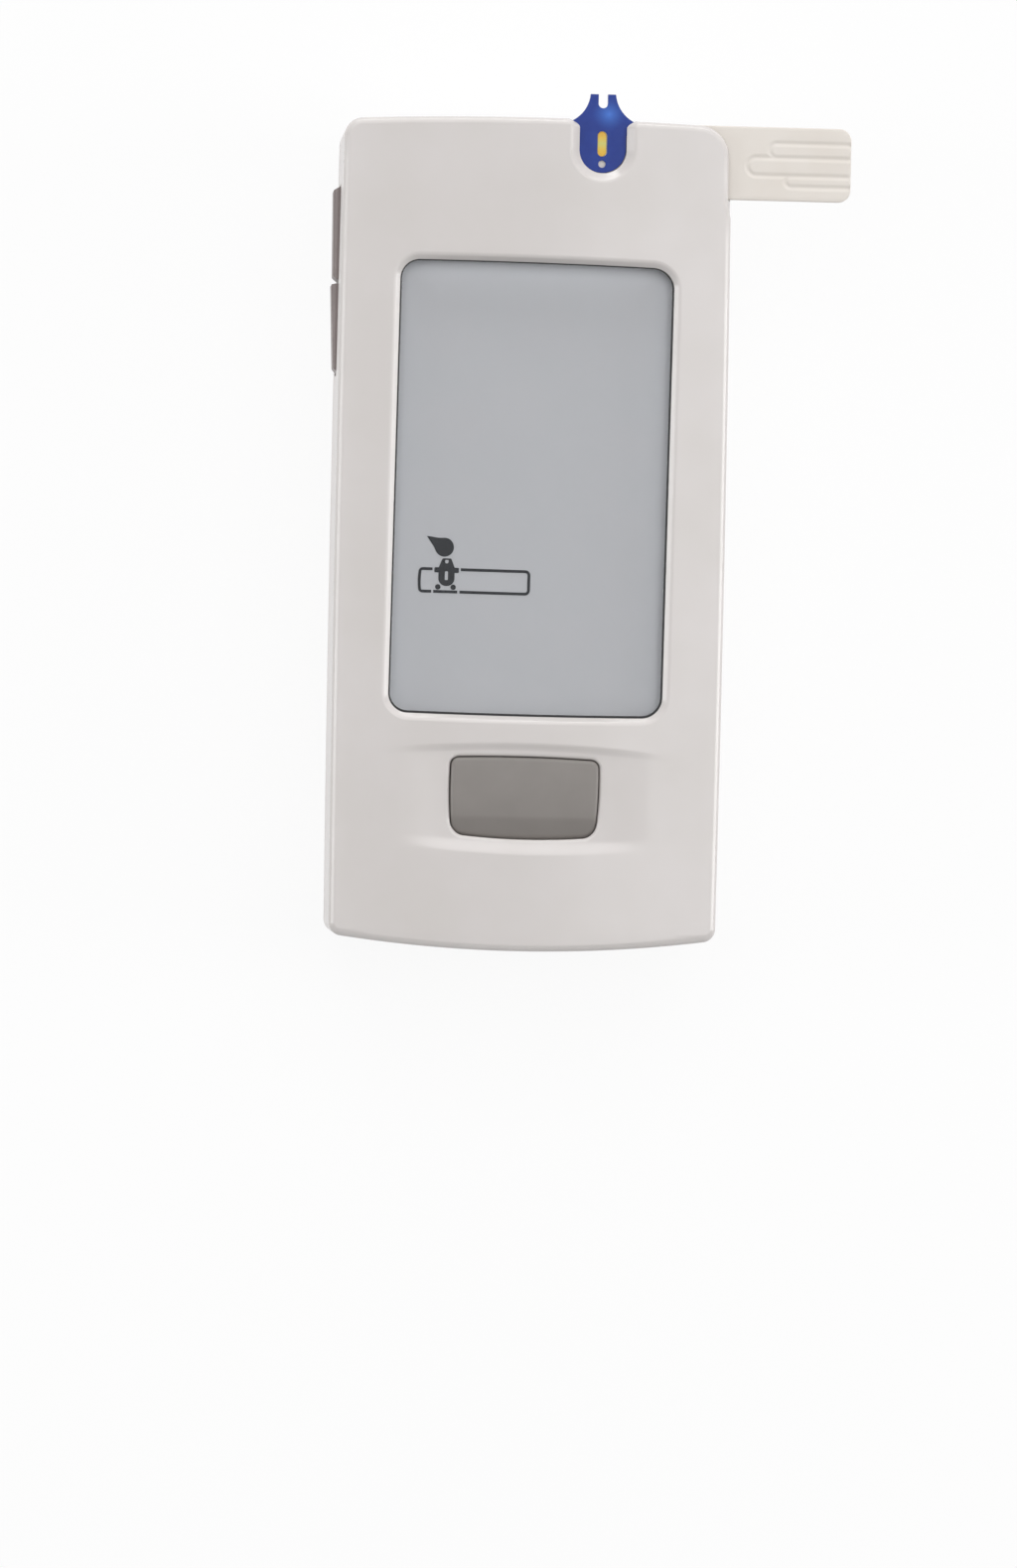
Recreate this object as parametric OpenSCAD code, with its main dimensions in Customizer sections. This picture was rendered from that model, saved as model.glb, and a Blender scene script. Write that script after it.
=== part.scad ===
// Hand-held blood glucose meter with a test strip in its socket.
// The meter lies on its back: +X to its right, +Y to the strip end, +Z out of the display.
// The origin is the centre of the back face.

/* [Housing] */
// Length of the housing over its two bowed ends
body_l = 95; // [93:0.5:99]
// Width of the housing without the bow of its sides
body_w = 44.2; // [43.6:0.1:46]
// Thickness from the back face to the middle of the crowned face
body_t = 23; // [22.7:0.1:24.5]
// Thickness of the side walls and of the back
wall = 1.5; // [1.2:0.1:1.7]
// Thickness of the front face at the middle of its crown
face_wall = 1.5; // [1.4:0.1:1.7]
// Height of the parting line above the back face
seam_z = 9; // [8:0.25:9.5]
// Open reveal between the two covers
seam_gap = 0.1; // [0.05:0.05:0.2]
// Height of the inner lip that locates the covers
lip_h = 1; // [0.6:0.1:1.4]
// Drop of the crowned face from its middle line to the sides
crown_drop = 0.7; // [0.4:0.05:0.9]
// Outward bow of each long side
side_bow = 0.2; // [0:0.05:0.4]
// Outward bow of the strip end
top_bow = 0.55; // [0:0.05:0.8]
// Outward bow of the lower end
bottom_bow = 1.6; // [0.8:0.1:2.2]
// Corner radius of the strip end
top_corner = 2; // [1.5:0.1:2.6]
// Corner radius of the lower end
bottom_corner = 1.3; // [1.1:0.1:2.4]
// Rounding of the front edge
front_round = 0.9; // [0.6:0.05:1.1]
// Rounding of the back edge, measured across the back face
back_round_in = 4.5; // [3:0.25:5]
// Rounding of the back edge, measured up the sides
back_round_up = 7; // [5:0.25:7.5]
// Growth of the corner radius towards the back face
back_corner_up = 3.5; // [2:0.25:4]

/* [Display] */
// Face left on each side of the display opening
window_side = 6.45; // [6:0.05:7.5]
// Distance from the strip end to the display opening
window_from_top = 16.55; // [16:0.05:18]
// Distance from the display opening to the middle of the button
window_to_button = 9.25; // [8.6:0.05:10]
// Corner radius of the display opening
window_corner = 2.2; // [1.2:0.1:3]
// Outward bow of the opening's two ends
window_bow = 0.15; // [0:0.05:0.3]
// Rounding of the opening's rim
window_round = 0.6; // [0.3:0.05:0.8]
// Depth of the clear insert's face below the rim at its middle
window_recess = 0.9; // [0.7:0.05:1.1]
// Thickness of the clear insert's flange
flange_t = 0.7; // [0.5:0.05:0.9]
// Width of the clear insert's flange behind the face
flange_w = 1.5; // [1.2:0.1:1.8]
// Thickness of the adhesive frame
glue_t = 0.1; // [0.05:0.01:0.15]
// Thickness of each display glass plate
glass_t = 0.7; // [0.5:0.05:0.8]
// Thickness of the polariser and of the reflector
film_t = 0.2; // [0.15:0.01:0.25]
// Length of the contact ledge on the front glass
ledge_l = 2.4; // [2:0.1:2.6]

/* [Main button] */
// Width of the button hole halfway up
button_w = 16.5; // [14:0.1:17.5]
// Length of the button hole between its corners
button_l = 8.75; // [7:0.05:9]
// Extra width of the hole at its upper edge, each side
button_taper = 0.22; // [0:0.02:0.4]
// Distance from the lower end to the middle of the button
button_from_bottom = 17.6; // [17:0.05:18.2]
// Travel of the button
button_travel = 0.5; // [0.3:0.05:0.6]
// Gap round the button
button_gap = 0.18; // [0.12:0.01:0.25]
// Height of the button's face above the floor of the scoop
button_proud = 0.35; // [0.2:0.05:0.6]
// Depth of the scoop below the middle of the crown
scoop_depth = 0.45; // [0.3:0.05:0.55]
// Length of the scoop along Y at its middle
scoop_l = 12.25; // [11.5:0.05:13]

/* [Side keys] */
// Distance from the strip end to the up key
key_from_top = 7.75; // [7.5:0.05:8.5]
// Length of the up key
up_key_l = 11.05; // [9.5:0.05:11.5]
// Length of the down key
down_key_l = 10.4; // [9:0.05:11]
// Width of both keys across the side wall
key_w = 4.8; // [4:0.1:5]
// Gap round each key
key_gap = 0.15; // [0.1:0.01:0.2]
// Travel of the keys
key_travel = 0.4; // [0.25:0.05:0.5]
// How far the keys stand out of the side
key_proud = 0.65; // [0.5:0.05:0.9]

/* [Strip] */
// Length of the strip's carrier
strip_l = 37.5; // [36:0.1:39]
// Width of the strip's carrier
strip_w = 8.4; // [7.6:0.1:8.6]
// Thickness of the strip's carrier
strip_t = 0.7; // [0.5:0.05:0.8]
// Thickness of the blue head on the carrier
head_t = 0.25; // [0.15:0.01:0.3]
// Distance from the right side to the middle of the head
head_from_side = 14.9; // [14:0.1:15.5]
// How far the strip reaches in past the middle of the head
strip_reach = 8.8; // [8.2:0.1:9.2]
// Clearance of the strip in its slot
slot_gap = 0.15; // [0.08:0.01:0.2]
// How far the face above the slot stands back from the side
lip_back = 0.5; // [0.2:0.05:0.7]
// Corner radius of the face above the slot
lip_corner = 3.3; // [2:0.1:4]
// Thickness of the shelf below the slot
shelf_t = 1.2; // [0.9:0.1:1.5]
// Width of the strip socket
socket_w = 6.6; // [6:0.1:7]
// Number of socket contacts
contact_count = 4; // [2:1:4]

/* [Power] */
// Diameter of an AAA cell
cell_d = 10.3; // [9.9:0.1:10.5]
// Length of an AAA cell over its nub
cell_l = 44.5; // [43.5:0.1:44.8]
// Thickness of the compartment wall
tub_wall = 1; // [0.8:0.05:1.2]
// Clearance round the cells
cell_gap = 0.3; // [0.2:0.05:0.4]
// Length of the compressed battery springs
spring_l = 4.2; // [3.6:0.1:4.6]
// Thickness of the terminal plates
plate_t = 0.3; // [0.2:0.05:0.4]
// Distance from the lower end to the compartment
tub_from_bottom = 3.9; // [3.7:0.05:4.4]
// Height of the door's side edges above the back face
door_h = 3; // [2.6:0.1:3.2]
// Running gap round the door
door_gap = 0.15; // [0.1:0.01:0.25]
// Travel of the door until its hooks come free
door_travel = 8.5; // [7:0.25:9]

/* [Board] */
// Thickness of the circuit board
board_t = 1; // [0.8:0.1:1.2]
// Gap between the battery compartment and the board
board_gap = 0.5; // [0.4:0.05:0.6]
// Clearance of the board from the side walls
board_clear = 0.6; // [0.4:0.05:0.8]
// Diameter of the screws that join the covers
screw_d = 2; // [1.6:0.1:2.2]
// Diameter of the screws that hold the board
board_screw_d = 1.7; // [1.4:0.1:1.9]

/* [Hidden] */

$fn = 48;
crown_fn = 720;    // the crown's radius is large, so its circle needs many sides
over = 1;          // how far a cutter reaches past what it cuts
fit_gap = 0.05;    // gap between parts that seat on each other

// Colours
white = [0.83, 0.81, 0.79];
taupe = [0.55, 0.53, 0.51];
ivory = [0.9, 0.87, 0.83];
blue = [0.18, 0.27, 0.6];
amber = [0.9, 0.7, 0.2];
lcd_grey = [0.69, 0.7, 0.71];
black = [0.12, 0.12, 0.13];
board_green = [0.1, 0.35, 0.2];
steel = [0.75, 0.75, 0.76];
gold = [0.8, 0.65, 0.3];

// Outline of the housing: straight-sided box, then bows and corner radii
half_w = body_w / 2;
top_y = body_l / 2;
bottom_y = -body_l / 2;
body_box = [-half_w, half_w, bottom_y + bottom_bow, top_y - top_bow];
body_radii = [bottom_corner, bottom_corner, top_corner, top_corner];
body_bows = [side_bow, bottom_bow, top_bow];
side_x = half_w + side_bow;
inner_x = half_w - wall;
ceiling_z = body_t - face_wall;
crown_r = (half_w * half_w + crown_drop * crown_drop) / (2 * crown_drop);

// Battery compartment, from the back upwards
cell_lift = 0.65;                                   // from the door's inner face to the cells
cell_z = wall + cell_lift + cell_d / 2;
cell_x = cell_d / 2 + cell_gap / 2;
tub_in_x = cell_x + cell_d / 2 + cell_gap;
tub_out_x = tub_in_x + tub_wall;
tub_y0 = bottom_y + tub_from_bottom;
tub_y1 = tub_y0 + cell_l + spring_l + 2 * (plate_t + fit_gap);
tub_in_z = cell_z + cell_d / 2 + cell_gap;
tub_top_z = tub_in_z + tub_wall;
nub_l = 0.8;
nub_r = 1.9;

// Board
board_z = tub_top_z + board_gap;
board_top = board_z + board_t;
board_box = [-inner_x + board_clear, inner_x - board_clear,
             body_box[2] + wall + board_clear, body_box[3] - wall - board_clear];
board_corner = 1.5;

// Display stack, from the face downwards
button_y = bottom_y + button_from_bottom;
window_y1 = top_y - window_from_top;
window_y0 = button_y + window_to_button;
window_x = half_w - window_side;
window_box = [-window_x, window_x, window_y0 + window_bow, window_y1 - window_bow];
window_bows = [0, window_bow, window_bow];
window_radii = [for (i = [0 : 3]) window_corner];
insert_gap = 0.12;                                  // between the clear insert and the rim
insert_top = body_t - window_recess;
insert_z = ceiling_z - glue_t - flange_t;
polariser_top = insert_z - fit_gap;
front_glass_z = polariser_top - film_t - glass_t;
rear_glass_z = front_glass_z - glass_t;
reflector_z = rear_glass_z - film_t;
glass_margin = 1.55;                                // glass beyond the visible opening
film_margin = 0.95;                                 // films beyond the visible opening
glass_box = [-window_x - glass_margin, window_x + glass_margin, window_y0 - glass_margin, window_y1 + glass_margin];
film_box = [-window_x - film_margin, window_x + film_margin, window_y0 - film_margin, window_y1 + film_margin];
frame_wall = 1;
frame_floor = 1.2;
peg_share = [0.15, 0.6];                            // pegs along the frame, as shares of its length
frame_box = [glass_box[0] - fit_gap - frame_wall, glass_box[1] + fit_gap + frame_wall,
             glass_box[2] - fit_gap - frame_wall, glass_box[3] + ledge_l + fit_gap + frame_wall];
zebra_w = 1.8;
zebra_inset = 3;                                    // from the glass's edge to the zebra's end
zebra_y = glass_box[3] + ledge_l / 2;

// Main button and scoop
button_box = [-button_w / 2, button_w / 2, button_y - button_l / 2, button_y + button_l / 2];
button_bows = [0, 0.45, 0.2];
button_radii = [1.5, 1.5, 0.8, 0.8];
scoop_z = body_t - scoop_depth;
scoop_half = 19;                                    // past where the crown meets the scoop's floor
scoop_bow = 1.48;
scoop_box = [-scoop_half, scoop_half, button_y - scoop_l / 2 + scoop_bow, button_y + scoop_l / 2 - scoop_bow];
scoop_radii = [1.5, 1.5, 1.5, 1.5];
button_face = scoop_z + button_proud;
button_flange = 0.8;
flange_gap = 0.1;
button_flange_z = ceiling_z - flange_gap - button_flange;
button_round = 0.35;
button_crown_r = 42;                                // radius of the button's face along Y
button_crown_y = button_y + 1;                      // the button's face is highest here
main_case = [6, 6, 2];
stem_r = 1.7;
stem_sunk = 0.6;                                    // stem inside its case at rest
stem_out = 0.8;                                     // stem outside its case at rest
stem_fit = 0.06;                                    // running gap of a stem in its case
bore_spare = 0.2;                                   // depth left below a stem at full travel
plunger_r = 2.4;
plunger_z = board_top + main_case.z + stem_out;

// Side keys
key_y1 = top_y - key_from_top;
key_split = key_y1 - up_key_l;
key_y0 = key_split - key_gap - down_key_l;
side_case = [3.4, 5, 3.1];                          // case of a side switch, along X, Y, Z
key_z = board_z - side_case.z / 2;
key_flange = 0.7;
key_flange_lap = 0.55;                              // flange beyond the opening
key_flange_x = -inner_x + flange_gap;               // outer face of the flange
side_stem_r = 1.1;
side_stem_l = 0.9;                                  // stem outside its case at rest
side_case_x = key_flange_x + key_flange + key_travel + side_stem_l + bore_spare;
key_post_r = 1.6;
up_y = key_split + up_key_l / 2 - 0.9;              // clear of the housing screw beside it
down_y = key_y0 + down_key_l / 2;

// Strip, slot and socket
slot_top = ceiling_z;
strip_top = slot_top - head_t - flange_gap;
strip_z = strip_top - strip_t;
slot_z = strip_z - slot_gap;
head_x = half_w - head_from_side;
strip_x0 = head_x - strip_reach;
strip_x1 = strip_x0 + strip_l;
strip_y1 = top_y - 0.3;
strip_y0 = strip_y1 - strip_w;
slot_x0 = strip_x0 - slot_gap;
slot_y0 = strip_y0 - slot_gap;
strip_end_corner = 1.4;
notch_r = 2.95;
notch_round = 0.65;
head_r = 2.69;                                      // half width of the head's body
head_bottom_y = strip_y1 - 3.05;                    // centre of the head's round end
head_tip = 3.2;                                     // how far the head stands past the carrier
ear_x = 3.58;
tip_x = 1.45;
flank_r = 3.99;
flank_at = [5.41, 3.7];                             // centre of the upper flank, from the carrier's edge
under_r = 1.2;                                      // radius of the hollow below an ear
under_lift = 0.15;                                  // how far that hollow reaches past the carrier
channel_w = 1.14;
channel_l = 1.5;
sight_w = 1.2;                                      // window over the reaction film
sight_l = 2.9;
sight_y = strip_y1 - 2.45;
dot_r = 0.45;
dot_y = strip_y1 - 4.75;
lip_box = [-half_w, half_w + side_bow - lip_back, body_box[2], body_box[3]];
lip_radii = [bottom_corner, bottom_corner, lip_corner, top_corner];
socket_back = 2.4;                                  // socket behind the strip's end
socket_reach = 6.3;                                 // socket below the strip
socket_floor = 0.9;
socket_x0 = slot_x0 - socket_back;
socket_x1 = slot_x0 + socket_reach;
socket_y0 = slot_y0 + 0.2;
contact_pitch = 1.5;
contact_w = 0.8;
contact_r = 1.6;
contact_t = 0.2;
contact_x = slot_x0 + 3.2;
contact_top = strip_z - 2 * fit_gap;

// Screws and bosses
screw_inset = 0.8;                                  // from the middle between bay and wall
screw_x = (tub_out_x + inner_x) / 2 - screw_inset;
screw_y = [bottom_y + 9.5, top_y - 8.9];
screw_head_r = 1.9;
screw_head_h = 1.4;
screw_seat_z = 6;
screw_l = 10;
boss_r = 2.4;
column_r = 3.3;
column_top = screw_seat_z + 1.3;
board_screw_beside = 4.9;                           // from a housing screw to the board screw beside it
board_screw_inset = 1.1;                            // from the middle between bay and board edge to a lower screw
board_screw_top = 4.9;                              // from the strip end to an upper screw
board_screw_up = 2;                                 // from the button's middle to a lower screw
board_screw_at = [for (side = [-1, 1])
    each [[side * (screw_x - board_screw_beside), top_y - board_screw_top],
          [side * ((tub_out_x + board_box[1]) / 2 - board_screw_inset), button_y + board_screw_up]]];
board_boss_r = 2;
board_screw_l = 4.4;
board_head_r = 1.5;
board_head_h = 0.9;
hole_gap = 0.05;                                    // radial gap of a screw in its hole
column_gap = 0.4;                                   // gap of the board round a boss

// Door
door_y1 = tub_y1 + tub_wall + 2.1;
plate_z = door_h + 0.2;                             // underside of the fixed plate above the door
plate_h = 1;
plate_end = door_y1 + 4;
hook_inset = 0.6;                                   // from the middle between bay and wall
hook_x = (tub_out_x + inner_x) / 2 - hook_inset;
hook_w = 1.2;
hook_l = 4;
hook_foot = 1;                                      // reach of a hook's foot to each side
hook_foot_h = 0.8;
hook_gap = 0.3;
hook_y = [door_y1 - 9, door_y1 - 27];
tongue_w = 3;                                       // two tongues, outside the cells they slide past
tongue_l = 2.5;
tongue_t = 1;
tongue_x = tub_in_x + tongue_w / 2;
grip_count = 4;
grip_pitch = 2.2;
grip_r = 0.5;
grip_w = 14;
grip_at = door_y1 - 9;

// ---------- Outlines and lofts ----------

corner_steps = 6;
end_steps = 14;
side_steps = 6;

function last(list) = list[len(list) - 1];

function corner(c, r, start) =
    [for (i = [0 : corner_steps]) let (a = start + 90 * i / corner_steps) c + r * [cos(a), sin(a)]];

function between(p, q, n) = [for (i = [1 : 1 : n - 1]) p + (q - p) * i / n];

// Rounded box, counter-clockwise from its lower left corner. box is [left, right, low, high].
// Only a side with a bow is divided, because points in one line would make empty triangles.
function rounded_box(box, radii, bows = [0, 0, 0]) =
    let (ll = corner([box[0] + radii[0], box[2] + radii[0]], radii[0], 180),
         lr = corner([box[1] - radii[1], box[2] + radii[1]], radii[1], 270),
         ur = corner([box[1] - radii[2], box[3] - radii[2]], radii[2], 0),
         ul = corner([box[0] + radii[3], box[3] - radii[3]], radii[3], 90),
         sides = bows[0] > 0 ? side_steps : 1,
         low = bows[1] > 0 ? end_steps : 1,
         high = bows[2] > 0 ? end_steps : 1)
    concat(ll, between(last(ll), lr[0], low), lr, between(last(lr), ur[0], sides),
           ur, between(last(ur), ul[0], high), ul, between(last(ul), ll[0], sides));

// Moves a point of a box outwards by the bows of its sides, lower end and upper end
function bowed(p, box, bows, taper) =
    let (u = (2 * p.x - box[0] - box[1]) / (box[1] - box[0]),
         v = (2 * p.y - box[2] - box[3]) / (box[3] - box[2]))
    [p.x + u * (bows[0] * (1 - v * v) + taper * v),
     p.y + v * (v < 0 ? bows[1] : bows[2]) * (1 - u * u)];

// Outline of a bowed box, grown outwards by grow
function plan(box, radii, bows = [0, 0, 0], grow = 0, taper = 0) =
    let (big = [box[0] - grow, box[1] + grow, box[2] - grow, box[3] + grow],
         round = [for (r = radii) max(r + grow, 0.1)])
    [for (p = rounded_box(big, round, bows)) bowed(p, big, bows, taper)];

function crown_z(x) = body_t - crown_r + sqrt(crown_r * crown_r - x * x);

function at_height(outline, z) = [for (p = outline) [p.x, p.y, z]];

function button_z(y) = button_face - button_crown_r + sqrt(button_crown_r * button_crown_r - (y - button_crown_y) ^ 2);

function below_button(outline, depth) = [for (p = outline) [p.x, p.y, button_z(p.y) - depth]];

function below_crown(outline, depth) = [for (p = outline) [p.x, p.y, crown_z(p.x) - depth]];

// Closed solid through outlines of equal length, from the lowest to the highest
module loft(rings) {
    n = len(rings[0]);
    top = (len(rings) - 1) * n;
    walls = [for (k = [0 : len(rings) - 2], i = [0 : n - 1])
        let (a = k * n + i, b = k * n + (i + 1) % n) each [[a, a + n, b + n], [a, b + n, b]]];
    polyhedron(
        points = [for (ring = rings) each ring],
        faces = concat(walls, [[for (i = [0 : n - 1]) i]], [[for (i = [n - 1 : -1 : 0]) top + i]]));
}

// Prism on a plan, between two heights
module prism(outline, low, high) {
    translate([0, 0, low])
        linear_extrude(high - low)
            polygon(outline);
}

// Plain block between two corners
module block(low, high) {
    translate(low)
        cube(high - low);
}

module slab(box, low, high) {
    block([box[0], box[2], low], [box[1], box[3], high]);
}

// ---------- Housing ----------

round_angles = [0, 25, 50, 75];

// Solid outside of the front cover: walls, rounded edge and crowned face
module crowned_solid(box, radii) {
    edge = [for (a = round_angles)
        below_crown(plan(box, radii, body_bows, -front_round * (1 - cos(a))), front_round * (1 - sin(a)))];
    inset = front_round * (1 - cos(last(round_angles)));
    intersection() {
        loft(concat(
            [at_height(plan(box, radii, body_bows), seam_z + seam_gap)],
            edge,
            [at_height(plan(box, radii, body_bows, -inset), body_t + over)]));
        translate([0, 0, body_t - crown_r])
            rotate([90, 0, 0])
                cylinder(r = crown_r, h = 2 * body_l, center = true, $fn = crown_fn);
    }
}

// Space over the slot, where the face stands back from the side
module slot_corner() {
    block([slot_x0, slot_y0, slot_z], [body_w, body_l, body_t + 2 * over]);
}

module front_solid() {
    difference() {
        crowned_solid(body_box, body_radii);
        slot_corner();
    }
    intersection() {
        crowned_solid(lip_box, lip_radii);
        slot_corner();
    }
}

// Inset of the back's rounded edge at height z
function back_inset(z) =
    let (t = max(0, back_round_up - z) / back_round_up)
    back_round_in * (1 - sqrt(1 - t * t));

back_levels = [0, 0.03, 0.12, 0.25, 0.45, 0.7, 1];

// Outline of the back at height z above its face. The corners open out where the edge rounds in.
function back_plan(inset, z) =
    let (round_in = back_inset(z), wider = round_in * (1 + back_corner_up / back_round_in))
    plan(body_box, [for (r = body_radii) r + wider], body_bows, -inset - round_in);

// Solid outside of the back, or with inset = wall its hollow
module back_solid(inset, low, high) {
    heights = [for (t = back_levels) low + t * (back_round_up - low)];
    loft(concat(
        [for (z = heights) at_height(back_plan(inset, z - low), z)],
        [at_height(plan(body_box, body_radii, body_bows, -inset), high)]));
}

module front_bosses() {
    for (x = [-screw_x, screw_x], y = screw_y)
        translate([x, y, column_top + fit_gap])
            cylinder(r = boss_r, h = ceiling_z - column_top);
    for (at = board_screw_at)
        translate([at.x, at.y, board_top])
            cylinder(r = board_boss_r, h = ceiling_z - board_top + fit_gap);
}

// Shelf that carries the strip, and the wall between the slot and the display
module slot_shelf() {
    block([socket_x1 + slot_gap, slot_y0 - 1, slot_z - shelf_t],
          [half_w - wall / 2, body_box[3] - wall / 2, slot_z + fit_gap]);
    block([socket_x0 - 1, slot_y0 - 1, slot_z - shelf_t], [half_w - wall / 2, slot_y0, ceiling_z + fit_gap]);
}

module screw_bores() {
    for (x = [-screw_x, screw_x], y = screw_y)
        translate([x, y, column_top - over])
            cylinder(r = screw_d / 2 + hole_gap, h = screw_seat_z + screw_l - column_top + 2 * over);
    for (at = board_screw_at)
        translate([at.x, at.y, board_top - over])
            cylinder(r = board_screw_d / 2 + hole_gap, h = board_screw_l + over);
}

flare_angles = [75, 50, 30, 12];                    // ends just below the crown, so no edge lies on it

// Flared opening for the display
module display_opening() {
    rim = [for (a = flare_angles)
        below_crown(plan(window_box, window_radii, window_bows, window_round * (1 - sin(a))),
                    window_round * (1 - cos(a)))];
    loft(concat(
        [at_height(plan(window_box, window_radii, window_bows), ceiling_z - over)],
        [below_crown(plan(window_box, window_radii, window_bows), window_round)],
        rim,
        [at_height(plan(window_box, window_radii, window_bows, window_round * (1 - sin(last(flare_angles)))),
                   body_t + over)]));
}

// Shallow scoop: a flat floor in the crown, which fades where the crown drops to it
module scoop() {
    steps = [[-1.1, 0], [-0.5, 0.05], [-0.15, 0.22], [0, 0.45], [0.2, 0.7]];
    loft(concat(
        [for (s = steps) at_height(plan(scoop_box, scoop_radii, [0, scoop_bow, scoop_bow], s[0]), scoop_z + s[1])],
        [at_height(plan(scoop_box, scoop_radii, [0, scoop_bow, scoop_bow], last(steps)[0]), body_t + over)]));
}

module button_hole() {
    prism(plan(button_box, button_radii, button_bows, 0, button_taper), ceiling_z - over, body_t + over);
}

// Notch in the strip end that shows the head, with a flared rim
module head_notch() {
    rim_z = crown_z(head_x) - notch_round;
    translate([head_x, head_bottom_y, 0]) {
        translate([0, 0, slot_z])
            cylinder(r = notch_r, h = body_t);
        translate([0, 0, rim_z])
            cylinder(r1 = notch_r, r2 = notch_r + 2 * notch_round, h = 2 * notch_round);
        block([-notch_r, 0, slot_z], [notch_r, body_l, body_t + over]);
        translate([0, body_l, rim_z])
            rotate([90, 0, 0])
                linear_extrude(body_l)
                    polygon([[-notch_r, 0], [notch_r, 0], [notch_r + 2 * notch_round, 2 * notch_round],
                             [-notch_r - 2 * notch_round, 2 * notch_round]]);
    }
}

module strip_slot() {
    block([slot_x0, slot_y0, slot_z], [body_w, body_l, slot_top]);
}

module key_opening() {
    block([-body_w, key_y0 - key_gap, key_z - key_w / 2 - key_gap],
          [-inner_x + wall / 2, key_y1 + key_gap, key_z + key_w / 2 + key_gap]);
}

// Space for the flanges behind the key opening
module key_pocket() {
    reach = key_flange_lap + key_gap;
    block([-inner_x - side_bow, key_y0 - reach, key_z - key_w / 2 - reach],
          [-inner_x + wall, key_y1 + reach, key_z + key_w / 2 + reach]);
}

module front_cover() {
    color(white)
        difference() {
            union() {
                difference() {
                    front_solid();
                    prism(plan(body_box, body_radii, body_bows, -wall), seam_z - over, ceiling_z);
                    prism(plan(body_box, body_radii, body_bows, -wall / 2), seam_z - over, seam_z + lip_h + seam_gap);
                }
                front_bosses();
                slot_shelf();
            }
            display_opening();
            scoop();
            button_hole();
            head_notch();
            strip_slot();
            key_opening();
            key_pocket();
            screw_bores();
        }
}

// Ring on the back cover that locates the front cover
module seam_lip() {
    difference() {
        prism(plan(body_box, body_radii, body_bows, -wall / 2 - fit_gap), seam_z - wall, seam_z + lip_h);
        prism(plan(body_box, body_radii, body_bows, -wall), seam_z - wall - over, seam_z + lip_h + over);
    }
}

// Block that the battery compartment is hollowed out of
module battery_tub() {
    block([-tub_out_x, tub_y0 - tub_wall, plate_z], [tub_out_x, tub_y1 + tub_wall, tub_top_z]);
}

module tub_hollow() {
    block([-tub_in_x, tub_y0, -over], [tub_in_x, tub_y1, tub_in_z]);
}

// Keyhole slot in the fixed plate: narrow under the closed hook, wide where it comes free
module hook_slot() {
    narrow = hook_w / 2 + hook_gap;
    wide = narrow + hook_foot;
    block([-narrow, -hook_l / 2 - door_travel, 0], [narrow, hook_l / 2 + hook_gap, plate_h + 2 * over]);
    block([-wide, -hook_l / 2 - hook_gap - door_travel, 0],
          [wide, hook_l / 2 + hook_gap - door_travel, plate_h + 2 * over]);
}

module back_cover() {
    color(white)
        difference() {
            union() {
                difference() {
                    back_solid(0, 0, seam_z);
                    back_solid(wall, wall, seam_z + over);
                    block([-body_w, -body_l, -over], [body_w, door_y1, door_h]);
                }
                intersection() {
                    back_solid(0, 0, seam_z);
                    union() {
                        block([-body_w, -body_l, plate_z], [body_w, plate_end, plate_z + plate_h]);
                        block([-body_w, plate_end - plate_h, 0], [body_w, plate_end, plate_z + plate_h]);
                        for (x = [-screw_x, screw_x])
                            translate([x, screw_y[1], 0])
                                cylinder(r = column_r, h = column_top);
                    }
                }
                for (x = [-screw_x, screw_x])
                    translate([x, screw_y[0], plate_z])
                        cylinder(r = column_r, h = column_top - plate_z);
                battery_tub();
                seam_lip();
            }
            tub_hollow();
            for (x = [-screw_x, screw_x], y = screw_y)
                translate([x, y, 0]) {
                    translate([0, 0, -over])
                        cylinder(r = screw_d / 2 + hole_gap, h = column_top + 2 * over);
                    translate([0, 0, -over])
                        cylinder(r = screw_head_r + 4 * hole_gap, h = screw_seat_z + over);
                }
            for (x = [-hook_x, hook_x], y = hook_y)
                translate([x, y, plate_z - over])
                    hook_slot();
            terminal_slots();
        }
}

// ---------- Display ----------

module display_window() {
    color([0.9, 0.95, 1, 0.35])
        union() {
            slab([glass_box[0], glass_box[1], window_y0 - flange_w, window_y1 + flange_w],
                 insert_z, insert_z + flange_t);
            prism(plan(window_box, window_radii, window_bows, -insert_gap), insert_z + flange_t - fit_gap, insert_top);
        }
}

module window_adhesive() {
    color(black)
        difference() {
            slab([glass_box[0], glass_box[1], window_y0 - flange_w, window_y1 + flange_w],
                 ceiling_z - glue_t, ceiling_z);
            prism(plan(window_box, window_radii, window_bows, insert_gap), insert_z, body_t);
        }
}

module lcd_polariser() {
    color(lcd_grey)
        slab(film_box, polariser_top - film_t, polariser_top);
}

module lcd_front_glass() {
    color([0.75, 0.8, 0.8])
        slab([glass_box[0], glass_box[1], glass_box[2], glass_box[3] + ledge_l],
             front_glass_z, front_glass_z + glass_t);
}

module lcd_rear_glass() {
    color([0.7, 0.76, 0.76])
        slab(glass_box, rear_glass_z, rear_glass_z + glass_t);
}

module lcd_reflector() {
    color(steel)
        slab(film_box, reflector_z, reflector_z + film_t);
}

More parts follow.
